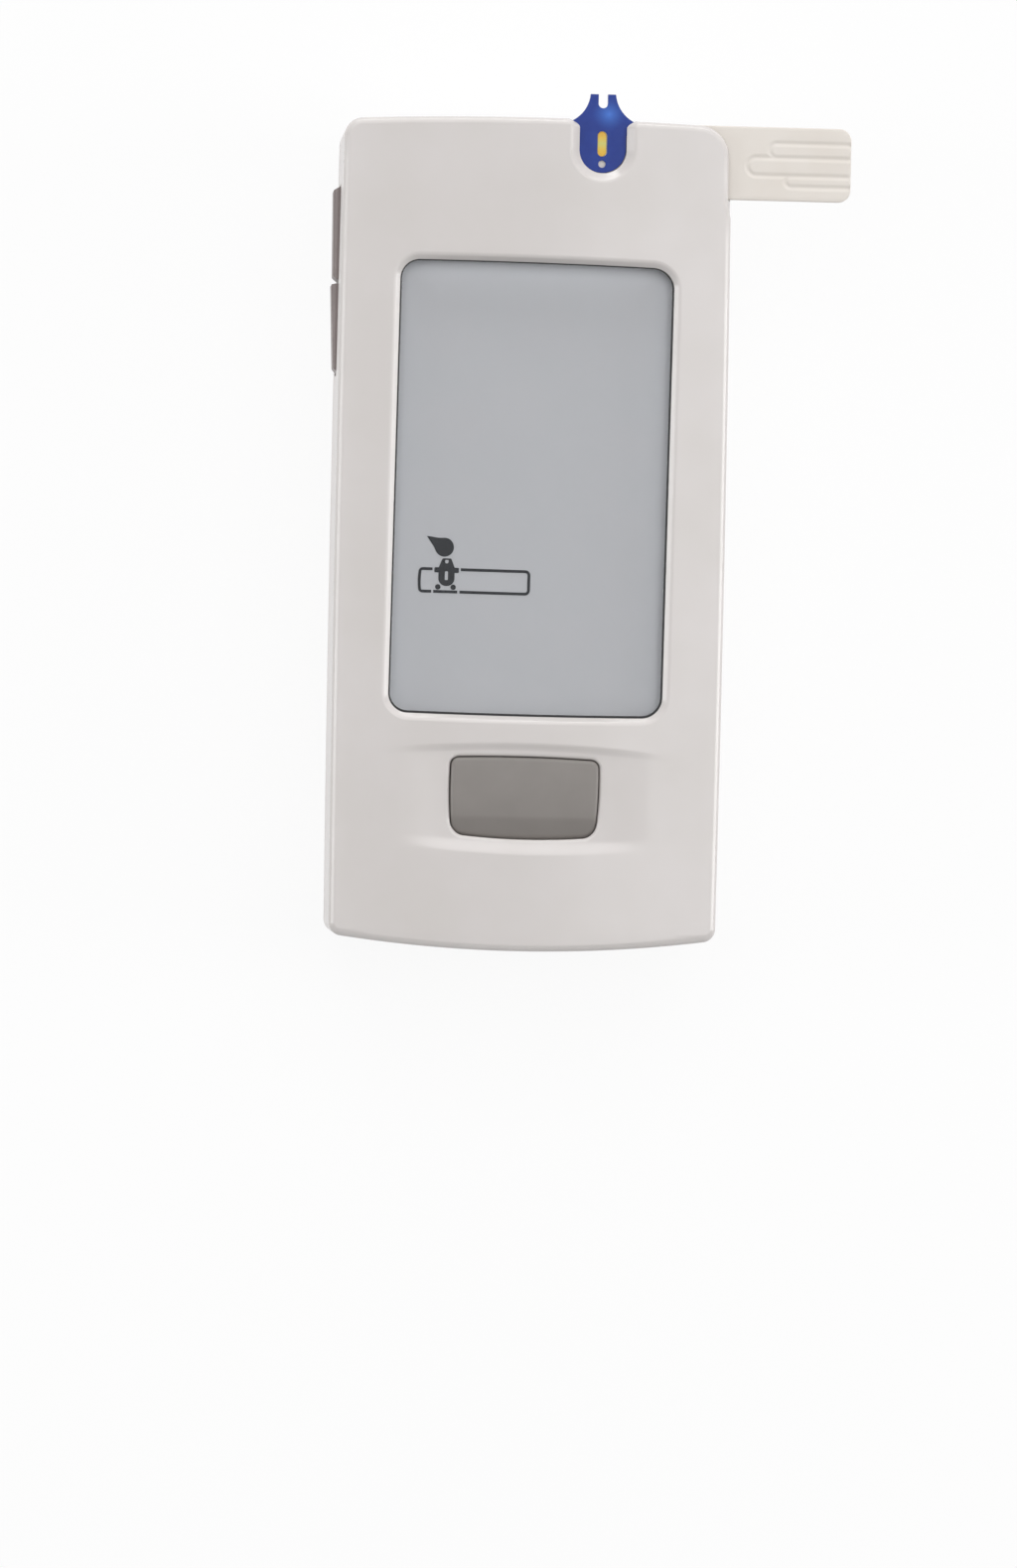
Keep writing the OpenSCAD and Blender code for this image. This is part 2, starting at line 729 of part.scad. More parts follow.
// Frame that holds the glass and the zebra connector over the board
module lcd_frame() {
    floor_z = reflector_z - fit_gap - frame_floor;
    pocket = [frame_box[0] + frame_wall, frame_box[1] - frame_wall,
              frame_box[2] + frame_wall, frame_box[3] - frame_wall];
    color("white") {
        difference() {
            slab(frame_box, board_top, polariser_top - film_t);
            slab(pocket, floor_z + frame_floor, polariser_top);
            slab(pocket, board_top - over, floor_z);
            slab([glass_box[0] + zebra_inset - fit_gap, glass_box[1] - zebra_inset + fit_gap,
                  zebra_y - zebra_w / 2 - fit_gap, zebra_y + zebra_w / 2 + fit_gap],
                 floor_z - over, ceiling_z);
        }
        for (x = [frame_box[0] + frame_wall / 2, frame_box[1] - frame_wall / 2], t = peg_share)
            translate([x, frame_box[2] + t * (frame_box[3] - frame_box[2]), board_z])
                cylinder(r = frame_wall / 2, h = board_t + fit_gap);
    }
}

module zebra_connector() {
    color([0.85, 0.4, 0.55])
        slab([glass_box[0] + zebra_inset, glass_box[1] - zebra_inset,
              zebra_y - zebra_w / 2, zebra_y + zebra_w / 2], board_top, front_glass_z);
}

// ---------- Board ----------

module circuit_board() {
    color(board_green)
        translate([0, 0, board_z])
            linear_extrude(board_t)
                difference() {
                    polygon(plan(board_box, [for (i = [0 : 3]) board_corner]));
                    translate([-body_w, key_y0 - key_flange_lap - 2 * key_gap])
                        square([body_w - inner_x + key_flange + key_travel + 4 * flange_gap,
                                key_y1 - key_y0 + 2 * key_flange_lap + 4 * key_gap]);
                    for (x = [-screw_x, screw_x], y = screw_y)
                        translate([x, y])
                            circle(r = boss_r + column_gap);
                    for (at = board_screw_at)
                        translate(at)
                            circle(r = board_screw_d / 2 + hole_gap);
                    for (x = [frame_box[0] + frame_wall / 2, frame_box[1] - frame_wall / 2], t = peg_share)
                        translate([x, frame_box[2] + t * (frame_box[3] - frame_box[2])])
                            circle(r = frame_wall / 2 + fit_gap);
                    for (x = [-cell_x, cell_x])
                        translate([x - tab_w / 2 - fit_gap, tub_y1 - plate_t - 2 * fit_gap])
                            square([tab_w + 2 * fit_gap, plate_t + 2 * fit_gap]);
                }
}

// Processor under the board, beside the buzzer
chip_size = [10, 10, 1.4];
chip_at = [8, tub_y1 + 14];
chip_lift = 0.1;
lead_count = 12;
lead_w = 0.3;
lead_t = 0.15;
lead_l = 1;
lead_bend = 0.3;
lead_margin = 1;                                    // from the package's corner to its first lead

module processor_chip() {
    color(black)
        translate([chip_at.x - chip_size.x / 2, chip_at.y - chip_size.y / 2, board_z - chip_lift - chip_size.z])
            cube(chip_size);
}

// Gull-wing leads on all four sides of the processor
module processor_leads() {
    pitch = (chip_size.x - 2 * lead_margin) / (lead_count - 1);
    shoulder = chip_size.z / 2 + chip_lift;
    color(steel)
        translate([chip_at.x, chip_at.y, board_z])
            mirror([0, 0, 1])
                for (side = [0 : 3], i = [0 : lead_count - 1])
                    rotate([0, 0, 90 * side])
                        translate([chip_size.x / 2, (i - (lead_count - 1) / 2) * pitch - lead_w / 2, 0])
                            rotate([90, 0, 0])
                                translate([0, 0, -lead_w])
                                    linear_extrude(lead_w)
                                        lead_profile(shoulder);
}

module lead_profile(shoulder) {
    polygon([[0, shoulder - lead_t], [lead_bend, shoulder - lead_t], [lead_bend, 0], [lead_l, 0],
             [lead_l, lead_t], [lead_bend + lead_t, lead_t], [lead_bend + lead_t, shoulder], [0, shoulder]]);
}

small_size = [4.9, 3.9, 1.5];
small_pitch = 1.27;
small_lead = [0.4, 0.8];

// Small outline package with four leads on each side, standing on z = 0
module small_chip() {
    block([-small_size.x / 2, -small_size.y / 2, chip_lift], [small_size.x / 2, small_size.y / 2, small_size.z]);
    for (side = [-1, 1], i = [-1.5 : 1.5])
        translate([i * small_pitch, side * (small_size.y + small_lead.y) / 2, small_size.z / 4])
            cube([small_lead.x, small_lead.y, small_size.z / 2], center = true);
}

module amplifier_chip() {
    color(black)
        translate([(socket_x0 + socket_x1) / 2, (slot_y0 + strip_y1) / 2, board_z])
            mirror([0, 0, 1])
                rotate([0, 0, 90])
                    small_chip();
}

// Row of parts across the board between the button and the lower end
row_x = -11.5;
row_y = button_y - main_case.y / 2 - 2.2;
memory_at = [6, row_y - 4.9];
crystal_r = 1;
crystal_l = 6;
crystal_y = row_y - 4.4;
capacitor_size = [2, 1.25, 0.9];
capacitor_pitch = 3;
resistor_size = [1.6, 0.8, 0.5];
resistor_pitch = 3.2;
resistor_y = slot_y0 - 1.35;
small_count = 6;

module memory_chip() {
    color(black)
        translate([memory_at.x, memory_at.y, board_top])
            small_chip();
}

module clock_crystal() {
    color(steel)
        translate([row_x, crystal_y, board_top + crystal_r])
            rotate([0, 90, 0])
                cylinder(r = crystal_r, h = crystal_l);
}

module board_capacitors() {
    color([0.75, 0.6, 0.4])
        for (i = [0 : small_count - 1])
            translate([row_x + i * capacitor_pitch, row_y - capacitor_size.y, board_top])
                cube(capacitor_size);
}

module board_resistors() {
    color(black)
        for (i = [0 : small_count - 1])
            translate([row_x + i * resistor_pitch, resistor_y - resistor_size.y, board_z - resistor_size.z])
                cube(resistor_size);
}

buzzer_r = 6;
buzzer_h = 2.6;
buzzer_hole_r = 1;
buzzer_at = [-4.5, slot_y0 - 10.15];

module piezo_buzzer() {
    color(black)
        translate([buzzer_at.x, buzzer_at.y, board_z - buzzer_h])
            difference() {
                cylinder(r = buzzer_r, h = buzzer_h);
                translate([0, 0, -over])
                    cylinder(r = buzzer_hole_r, h = 2 * over);
            }
}

// ---------- Strip socket ----------

module strip_socket() {
    color(black)
        difference() {
            union() {
                block([socket_x0, socket_y0, board_top], [socket_x1, socket_y0 + socket_w, slot_z - fit_gap]);
                block([socket_x0, socket_y0, board_top],
                      [slot_x0 - fit_gap, socket_y0 + socket_w, ceiling_z - fit_gap]);
            }
            for (i = [0 : contact_count - 1])
                translate([0, contact_y(i), 0])
                    block([contact_x - contact_r - slot_gap, -contact_w / 2 - fit_gap, board_top + socket_floor],
                          [contact_x + contact_r + slot_gap, contact_w / 2 + fit_gap, slot_z + over]);
        }
}

function contact_y(i) = socket_y0 + socket_w / 2 + (i - (contact_count - 1) / 2) * contact_pitch;

// Arched springs, one in each groove of the socket
module socket_contacts() {
    foot_z = board_top + socket_floor;
    arch_z = contact_top - contact_r;
    color(gold)
        for (i = [0 : contact_count - 1])
            translate([contact_x, contact_y(i) + contact_w / 2, 0])
                rotate([90, 0, 0])
                    linear_extrude(contact_w)
                        union() {
                            translate([0, arch_z])
                                difference() {
                                    circle(r = contact_r);
                                    circle(r = contact_r - contact_t);
                                    translate([-contact_r - over, -contact_r - over])
                                        square([2 * (contact_r + over), contact_r + over]);
                                }
                            translate([contact_r - contact_t, foot_z])
                                square([contact_t, arch_z - foot_z]);
                            translate([-contact_r, (arch_z + foot_z) / 2])
                                square([contact_t, (arch_z - foot_z) / 2]);
                            translate([0, foot_z])
                                square([contact_r, contact_t]);
                        }
}

// ---------- Switches ----------

module main_switch() {
    color(black)
        translate([0, button_y, board_top])
            difference() {
                translate([-main_case.x / 2, -main_case.y / 2, 0])
                    cube(main_case);
                translate([0, 0, main_case.z - stem_sunk - button_travel - bore_spare])
                    cylinder(r = stem_r + stem_fit, h = main_case.z);
            }
}

module side_switch(y) {
    color(black)
        translate([side_case_x, y, key_z])
            difference() {
                translate([0, -side_case.y / 2, -side_case.z / 2])
                    cube(side_case);
                translate([-over, 0, 0])
                    rotate([0, 90, 0])
                        cylinder(r = side_stem_r + stem_fit, h = over + stem_sunk + key_travel + bore_spare);
            }
}

module side_stem(y) {
    color("white")
        translate([side_case_x - side_stem_l, y, key_z])
            rotate([0, 90, 0])
                cylinder(r = side_stem_r, h = side_stem_l + stem_sunk);
}

module up_switch() { side_switch(up_y); }
module down_switch() { side_switch(down_y); }
module up_switch_stem() { side_stem(up_y); }
module down_switch_stem() { side_stem(down_y); }

// ---------- Power ----------

tab_w = 2;

// A cell with its positive end towards +Y or -Y
module cell(x, direction) {
    end = cell_end(direction);
    translate([x, end, cell_z])
        rotate([90 * direction, 0, 0])
            translate([0, 0, nub_l])
                cylinder(r = cell_d / 2, h = cell_l - nub_l);
}

// Y of the tip of a cell's nub
function cell_end(direction) =
    direction > 0 ? tub_y1 - plate_t - 2 * fit_gap : tub_y0 + plate_t + 2 * fit_gap;

module battery_left() { color([0.2, 0.2, 0.22]) cell(-cell_x, 1); }
module battery_right() { color([0.2, 0.2, 0.22]) cell(cell_x, -1); }

module battery_nubs() {
    color(steel)
        for (side = [-1, 1])
            translate([side * cell_x, cell_end(-side), cell_z])
                rotate([-90 * side, 0, 0])
                    cylinder(r = nub_r, h = nub_l);
}

spring_turns = 3.5;
spring_wire = 0.25;
spring_wide = 3.4;
spring_narrow = 2.2;
spring_rings = 12;                                  // rings in each turn
spring_sides = 6;

// Conical coil with its axis along +Y, from its wide foot
module coil(length) {
    count = spring_turns * spring_rings;
    rings = [for (k = [0 : count])
        let (t = k / count, a = 360 * spring_turns * t, r = spring_wide + t * (spring_narrow - spring_wide),
             y = spring_wire + t * (length - 2 * spring_wire))
        [for (j = [0 : spring_sides - 1])
            let (b = 360 * j / spring_sides, q = r + spring_wire * cos(b))
            [q * cos(a), y + spring_wire * sin(b), q * sin(a)]]];
    loft(rings);
}

module battery_springs() {
    color(steel) {
        translate([-cell_x, tub_y0 + plate_t + 2 * fit_gap, cell_z])
            coil(spring_l - 3 * fit_gap);
        translate([cell_x, tub_y1 - plate_t - 2 * fit_gap, cell_z])
            rotate([180, 0, 0])
                coil(spring_l - 3 * fit_gap);
    }
}

plate_half = 4.2;

module battery_bridge() {
    color(steel)
        block([-cell_x - plate_half, tub_y0 + fit_gap, cell_z - plate_half],
              [cell_x + plate_half, tub_y0 + fit_gap + plate_t, cell_z + plate_half]);
}

// Terminal plate on the compartment's upper end wall, with a tab that ends flush with the board's top
module terminal(x) {
    color(steel)
        translate([x, tub_y1 - fit_gap - plate_t, cell_z])
            union() {
                block([-plate_half, 0, -plate_half], [plate_half, plate_t, plate_half]);
                block([-tab_w / 2, 0, 0], [tab_w / 2, plate_t, board_top - cell_z]);
            }
}

module terminal_slots() {
    for (x = [-cell_x, cell_x])
        translate([x, tub_y1 - plate_t - 2 * fit_gap, tub_in_z - over])
            block([-tab_w / 2 - fit_gap, 0, 0], [tab_w / 2 + fit_gap, plate_t + 2 * fit_gap, tub_wall + 2 * over]);
}

module positive_terminal() { terminal(-cell_x); }
module negative_terminal() { terminal(cell_x); }

// Door: the lower part of the back, closed at its end, with hooks, tongues and finger grips
module battery_door() {
    color(white)
        difference() {
            union() {
                intersection() {
                    difference() {
                        back_solid(0, 0, seam_z);
                        back_solid(wall, wall, seam_z + over);
                    }
                    block([-body_w, -body_l, -over], [body_w, door_y1 - door_gap, door_h - door_gap]);
                }
                for (x = [-hook_x, hook_x], y = hook_y)
                    translate([x, y, wall - fit_gap])
                        door_hook();
                for (x = [-tongue_x, tongue_x])
                    translate([x, door_y1 - door_gap, wall - fit_gap])
                        door_tongue();
            }
            for (i = [0 : grip_count - 1])
                translate([0, grip_at - grip_pitch * i, 0])
                    rotate([0, 90, 0])
                        cylinder(r = grip_r, h = grip_w, center = true);
        }
}

// Stepped tongue that reaches in over the fixed part of the back
module door_tongue() {
    top = fit_gap + hook_gap + tongue_t;
    block([-tongue_w / 2, -wall, 0], [tongue_w / 2, 0, top]);
    block([-tongue_w / 2, -wall, top - tongue_t], [tongue_w / 2, door_gap + tongue_l, top]);
}

module door_hook() {
    top = plate_z + plate_h + hook_gap - wall + fit_gap;
    block([-hook_w / 2, -hook_l / 2, 0], [hook_w / 2, hook_l / 2, top + hook_foot_h]);
    block([-hook_w / 2 - hook_foot, -hook_l / 2, top], [hook_w / 2 + hook_foot, hook_l / 2, top + hook_foot_h]);
}

// ---------- Screws ----------

// Screw with its head below z = 0 and a cross recess
module screw(shank_r, length, head_r, head_h) {
    difference() {
        union() {
            translate([0, 0, -head_h])
                cylinder(r = head_r, h = head_h);
            cylinder(r = shank_r, h = length);
        }
        for (turn = [0, 90])
            rotate([0, 0, turn])
                translate([0, 0, -head_h])
                    cube([1.2 * head_r, 0.25 * head_r, head_h], center = true);
    }
}

module board_screws() {
    color(steel)
        for (at = board_screw_at)
            translate([at.x, at.y, board_z])
                screw(board_screw_d / 2, board_t + board_screw_l - over, board_head_r, board_head_h);
}

module housing_screws() {
    color(steel)
        for (x = [-screw_x, screw_x], y = screw_y)
            translate([x, y, screw_seat_z])
                screw(screw_d / 2, screw_l, screw_head_r, screw_head_h);
}

// ---------- Keys ----------

// Outline of the button's cap, drawn in by inset
function cap_plan(inset) = plan(button_box, button_radii, button_bows, -button_gap - inset, button_taper);

module main_button() {
    edge = [for (a = round_angles) below_button(cap_plan(button_round * (1 - cos(a))), button_round * (1 - sin(a)))];
    color(taupe) {
        intersection() {
            loft(concat(
                [at_height(cap_plan(0), button_flange_z)],
                edge,
                [at_height(cap_plan(button_round * (1 - cos(last(round_angles)))), button_face + over)]));
            translate([0, button_crown_y, button_face - button_crown_r])
                rotate([0, 90, 0])
                    cylinder(r = button_crown_r, h = body_w, center = true, $fn = crown_fn);
        }
        prism(plan(button_box, button_radii, button_bows, button_flange, button_taper),
              button_flange_z, button_flange_z + button_flange);
        translate([0, button_y, plunger_z])
            cylinder(r = plunger_r, h = button_flange_z - plunger_z + fit_gap);
    }
}

module main_switch_stem() {
    color("white")
        translate([0, button_y, board_top + main_case.z - stem_sunk])
            cylinder(r = stem_r, h = stem_out + stem_sunk);
}

// Cap of a side key between y0 and y1. out lists how far it stands out at y0 and at y1.
module side_key(y0, y1, out, slope0, slope1, post_y) {
    half = key_w / 2;
    bevel = 0.6;
    color(taupe) {
        intersection() {
            translate([0, 0, key_z - half])
                linear_extrude(key_w)
                    polygon([[key_flange_x + fit_gap, y0], [-side_x + bevel / 2, y0], [-side_x - out[0], y0 + slope0],
                             [-side_x - out[1], y1 - slope1], [-side_x + bevel / 2, y1],
                             [key_flange_x + fit_gap, y1]]);
            translate([0, y1 + over, key_z])
                rotate([90, 0, 0])
                    linear_extrude(y1 - y0 + 2 * over)
                        polygon([[-inner_x + over, -half], [-side_x, -half], [-side_x - out[1] / 2, -half + bevel / 4],
                                 [-side_x - out[1], -half + bevel], [-side_x - out[1], half - bevel],
                                 [-side_x - out[1] / 2, half - bevel / 4], [-side_x, half], [-inner_x + over, half]]);
        }
        block([key_flange_x, y0 - key_lap(y0), key_z - half - key_flange_lap],
              [key_flange_x + key_flange, y1 + key_lap(y1), key_z + half + key_flange_lap]);
        translate([key_flange_x + key_flange - fit_gap, post_y, key_z])
            rotate([0, 90, 0])
                cylinder(r = key_post_r, h = side_case_x - side_stem_l - key_flange_x - key_flange + fit_gap);
    }
}

// The flange laps behind the wall at the outer ends, and stops at the split between the keys
function key_lap(y) = abs(y - key_y0) < key_gap || abs(y - key_y1) < key_gap ? key_flange_lap : 0;

module up_key() {
    side_key(key_split, key_y1, [key_proud - 0.1, key_proud], 0.65, 0.5, up_y);
}

module down_key() {
    side_key(key_y0, key_split - key_gap, [key_proud - 0.3, key_proud + 0.05], 0.7, 0.1, down_y);
}

// ---------- Test strip ----------

// Grip grooves: [left end, y of the middle line, width]
grip_grooves = [[9.4, 2.5, 1.5], [12.1, 4.45, 2.3], [7.4, 6.2, 1]];

groove_depth = 0.15;
inner_end_corner = 0.6;

module strip_carrier() {
    color(ivory)
        difference() {
            translate([0, 0, strip_z])
                linear_extrude(strip_t)
                    polygon(rounded_box([strip_x0, strip_x1, strip_y0, strip_y1],
                                        [inner_end_corner, strip_end_corner, strip_end_corner, inner_end_corner]));
            for (g = grip_grooves)
                translate([strip_x1 - g[0], strip_y1 - g[1], strip_top - groove_depth]) {
                    block([0, -g[2] / 2, 0], [strip_l, g[2] / 2, over]);
                    cylinder(r = g[2] / 2, h = over);
                }
        }
}

// Plan of the blue head, centred on x = 0, with y measured from the carrier's long edge
module head_plan() {
    difference() {
        union() {
            translate([-ear_x, -under_r])
                square([2 * ear_x, head_tip + under_r]);
            translate([-head_r, head_bottom_y - strip_y1])
                square([2 * head_r, strip_y1 - head_bottom_y]);
            translate([0, head_bottom_y - strip_y1])
                circle(r = head_r);
        }
        for (side = [-1, 1]) {
            translate([side * flank_at.x, flank_at.y])
                circle(r = flank_r);
            translate([side * (head_r + under_r), under_lift - under_r])
                circle(r = under_r);
        }
        translate([-channel_w / 2, head_tip - channel_l + channel_w / 2])
            square([channel_w, channel_l]);
        translate([0, head_tip - channel_l + channel_w / 2])
            circle(r = channel_w / 2);
        translate([0, dot_y - strip_y1])
            circle(r = dot_r);
    }
}

module sight_plan(grow) {
    r = sight_w / 2 + grow;
    for (end = [-1, 1])
        translate([0, end * (sight_l - sight_w) / 2])
            circle(r = r);
    translate([-r, -(sight_l - sight_w) / 2])
        square([2 * r, sight_l - sight_w]);
}

module strip_head() {
    color(blue)
        translate([head_x, strip_y1, 0])
            difference() {
                union() {
                    translate([0, 0, strip_top])
                        linear_extrude(head_t)
                            head_plan();
                    intersection() {
                        translate([0, 0, strip_z])
                            linear_extrude(strip_t + fit_gap)
                                head_plan();
                        block([-body_w, 0, 0], [body_w, body_l, body_t]);
                    }
                }
                translate([0, sight_y - strip_y1, strip_top - fit_gap])
                    linear_extrude(over)
                        sight_plan(0);
            }
}

module strip_reaction_film() {
    color(amber)
        translate([head_x, sight_y, strip_top])
            linear_extrude(head_t / 2)
                sight_plan(-fit_gap / 2);
}

electrode_size = [4.6, 1];
electrode_inset = 0.3;

module strip_electrodes() {
    color(gold)
        for (i = [0 : contact_count - 1])
            translate([strip_x0 + electrode_inset, contact_y(i) - electrode_size.y / 2, strip_z - fit_gap])
                cube([electrode_size.x, electrode_size.y, fit_gap]);
}

front_cover();
back_cover();
display_window();
window_adhesive();
lcd_polariser();
lcd_front_glass();
lcd_rear_glass();
lcd_reflector();
lcd_frame();
zebra_connector();
circuit_board();
processor_chip();
processor_leads();
amplifier_chip();
memory_chip();
clock_crystal();
board_capacitors();
board_resistors();
piezo_buzzer();
strip_socket();
socket_contacts();
main_switch();
up_switch();
down_switch();
battery_left();
battery_right();
battery_nubs();
battery_springs();
battery_bridge();
positive_terminal();
negative_terminal();
board_screws();
housing_screws();
main_button();
main_switch_stem();
up_key();
up_switch_stem();
down_key();
down_switch_stem();
battery_door();
strip_carrier();
strip_head();
strip_reaction_film();
strip_electrodes();
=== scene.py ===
"""Studio scene for a hand-held blood glucose meter with a test strip in its socket.

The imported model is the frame. The visible shells are rebuilt with smooth surfaces, every piece gets
its own finish, and a pale floor, soft light and a camera are added. Shapes are drawn in millimetres
and turned into metres when a piece is finished.
"""

from __future__ import annotations

import logging
import math
from dataclasses import dataclass, field, replace
from enum import Enum
from typing import Callable, Iterable, Sequence, Union

import bmesh
import bpy
from bmesh.types import BMesh, BMEdge, BMFace, BMVert
from mathutils import Matrix, Vector

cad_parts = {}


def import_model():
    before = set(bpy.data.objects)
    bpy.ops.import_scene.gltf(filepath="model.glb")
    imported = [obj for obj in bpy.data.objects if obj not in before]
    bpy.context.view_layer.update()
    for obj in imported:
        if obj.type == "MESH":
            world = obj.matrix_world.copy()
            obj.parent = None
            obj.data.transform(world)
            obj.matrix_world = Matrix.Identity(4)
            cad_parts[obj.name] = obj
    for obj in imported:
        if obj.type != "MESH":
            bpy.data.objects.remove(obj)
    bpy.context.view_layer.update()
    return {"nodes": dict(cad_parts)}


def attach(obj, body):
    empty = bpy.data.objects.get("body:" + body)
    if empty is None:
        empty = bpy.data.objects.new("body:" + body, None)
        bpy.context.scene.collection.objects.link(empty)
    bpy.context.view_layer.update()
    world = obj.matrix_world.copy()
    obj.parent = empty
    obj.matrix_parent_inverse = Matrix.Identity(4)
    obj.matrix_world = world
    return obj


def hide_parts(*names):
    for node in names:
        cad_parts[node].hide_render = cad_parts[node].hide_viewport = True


LOG = logging.getLogger("meter")
MM = 0.001
QUARTER_TURN = math.pi / 2
FACE_TURN = -0.5  # degrees by which the display, its symbol and the button stand askew
TOOL_REACH = 1.0  # how far a cutter runs past what it cuts
LEAST_RADIUS = 0.03  # of an outline's corner
MOUTH_LIMIT, MOUTH_POWER = 1.15, 1.8  # how far and how steeply an outline's mouth opens
SMOOTH_ANGLE = 32.0  # degrees up to which an edge is shaded smoothly
STRAIGHT_ANGLE = 3.0  # degrees up to which a point between two edges is no corner
FLAT_ANGLE = 0.4  # degrees up to which two faces become one
LAMP_AIM = (0.0, 0.0, 0.01)  # in metres

Colour = tuple[float, float, float]
Box = tuple[float, float, float, float]
Corners = tuple[tuple[float, float, float], tuple[float, float, float]]
Surface = Callable[[float, float], float]
Height = Union[float, Surface]
Draw = Callable[[BMesh], None]
Object = bpy.types.Object
Socket = bpy.types.NodeSocket


# Drawing in millimetres -----------------------------------------------------


class Cut(Enum):
    """How one solid changes another."""

    REMOVE = "DIFFERENCE"
    ADD = "UNION"


def smooth_step(start: float, end: float, value: float) -> float:
    """Goes from 0 at start to 1 at end with level ends."""
    share = min(1.0, max(0.0, (value - start) / (end - start)))
    return share * share * (3.0 - 2.0 * share)


def steps(start: float, end: float, count: int) -> list[float]:
    """Returns count + 1 evenly spaced values from start to end."""
    return [start + (end - start) * i / count for i in range(count + 1)]


def rounding(radius: float, start: float, end: float, count: int) -> list[tuple[float, float]]:
    """Returns how deep and how far in a rounded edge's points lie, between two angles."""
    angles = steps(start, end, count)
    return [(radius * (1 - math.sin(a)), radius * (1 - math.cos(a))) for a in angles]


@dataclass(frozen=True)
class Outline:
    """Rounded box seen from above, with bowed sides and ends.

    The radii run from the lower left corner anticlockwise, and turn is in degrees about the
    middle. A mouth is the place along Y from which the sides open out, the length over which they
    do, and how far they go. A pinch is how far the right ends of the two long sides are drawn
    together.
    """

    left: float
    right: float
    low: float
    high: float
    radii: tuple[float, float, float, float]
    side_bow: float = 0.0
    low_bow: float = 0.0
    high_bow: float = 0.0
    taper: float = 0.0
    turn: float = 0.0
    pinch: float = 0.0
    mouth: tuple[float, float, float] = (0.0, 1.0, 0.0)
    corner_steps: int = 12
    side_steps: int = 24

    @property
    def middle(self) -> tuple[float, float]:
        """The middle of the box."""
        return (self.left + self.right) / 2, (self.low + self.high) / 2

    def places(self, grow: float) -> list[Vector]:
        """Returns the outline's points, anticlockwise from the lower left corner.

        Args:
            grow: How far the outline is grown outwards.
        """
        left, right = self.left - grow, self.right + grow
        low, high = self.low - grow, self.high + grow
        flat = bmesh.new()
        corners = bmesh.ops.create_grid(flat, x_segments=1, y_segments=1, size=1.0)["verts"]
        radius_of = dict(zip(((-1, -1), (1, -1), (1, 1), (-1, 1)), self.radii))
        radii = [radius_of[(round(vert.co.x), round(vert.co.y))] for vert in corners]
        for vert in corners:
            vert.co = (right if vert.co.x > 0 else left, high if vert.co.y > 0 else low, 0.0)
        corner_of: dict[BMVert, int] = {}
        for number, (vert, radius) in enumerate(zip(corners, radii)):
            rounded = bmesh.ops.bevel(
                flat, geom=[vert], offset=max(radius + grow, LEAST_RADIUS),
                segments=self.corner_steps, profile=0.5, affect="VERTICES", material=-1,
            )
            corner_of.update({new: number for new in rounded["verts"]})
        sides = [e for e in flat.edges if corner_of[e.verts[0]] != corner_of[e.verts[1]]]
        bmesh.ops.subdivide_edges(flat, edges=sides, cuts=self.side_steps - 1)
        points = [vert.co.copy() for vert in flat.verts]
        flat.free()
        for point in points:
            across = (2 * point.x - left - right) / (right - left)
            along = (2 * point.y - low - high) / (high - low)
            bow = self.low_bow if along < 0 else self.high_bow
            point.x += across * (self.side_bow * (1 - along * along) + self.taper * along)
            point.y += along * (bow * (1 - across * across) - self.pinch * (1 + across) / 2)
            opened = min(MOUTH_LIMIT, max(0.0, (point.y - self.mouth[0]) / self.mouth[1]))
            point.x += across * self.mouth[2] * opened**MOUTH_POWER
        middle = Vector((*self.middle, 0.0))
        first = min(points, key=lambda p: p.x + p.y) - middle
        start = math.atan2(first.y, first.x) - 1e-4
        points.sort(
            key=lambda p: (math.atan2(p.y - middle.y, p.x - middle.x) - start) % math.tau
        )
        turn = Matrix.Rotation(math.radians(self.turn), 3, "Z")
        return [middle + turn @ (point - middle) for point in points]

    def ring(self, mesh: BMesh, height: Height, grow: float = 0.0) -> list[BMVert]:
        """Adds the outline as a closed loop of edges.

        Args:
            mesh: The mesh that takes the loop.
            height: The height of the loop, or a function of x and y that gives it.
            grow: How far the outline is grown outwards.

        Returns:
            The loop's vertices, anticlockwise from the lower left corner.
        """
        places = self.places(grow)
        loop = bmesh.ops.create_circle(mesh, cap_ends=False, radius=1.0, segments=len(places))
        for vert, place in zip(loop["verts"], places):
            vert.co = place
            vert.co.z = height(place.x, place.y) if callable(height) else height
        return loop["verts"]

    def prism(self, mesh: BMesh, low: Height, high: Height, grow: float = 0.0) -> None:
        """Adds a closed prism on the outline between two heights."""
        loft(mesh, [self.ring(mesh, low, grow), self.ring(mesh, high, grow)])


def unique(items: Iterable) -> list:
    """Returns each item once, in order. A set of mesh elements has another order in each run."""
    return list(dict.fromkeys(items))


def loop_edges(loop: Sequence[BMVert]) -> list[BMEdge]:
    """Returns the edges between neighbours of a closed loop of vertices, in the loop's order."""
    members = set(loop)
    edges = unique(e for v in loop for e in v.link_edges if e.other_vert(v) in members)
    return [e for e in edges if len(e.link_faces) < 2]


def cap(mesh: BMesh, loop: Sequence[BMVert]) -> BMFace:
    """Closes a loop with one face."""
    return bmesh.ops.edgeloop_fill(mesh, edges=loop_edges(loop))["faces"][0]


def cup(mesh: BMesh, loops: Sequence[Sequence[BMVert]]) -> None:
    """Joins neighbouring loops with bands of faces, and closes the lowest one."""
    for low, high in zip(loops, loops[1:]):
        bmesh.ops.bridge_loops(mesh, edges=loop_edges(low) + loop_edges(high))
    cap(mesh, loops[0])


def loft(mesh: BMesh, loops: Sequence[Sequence[BMVert]]) -> None:
    """Adds a closed solid through loops, from the lowest to the highest."""
    cup(mesh, loops)
    cap(mesh, loops[-1])


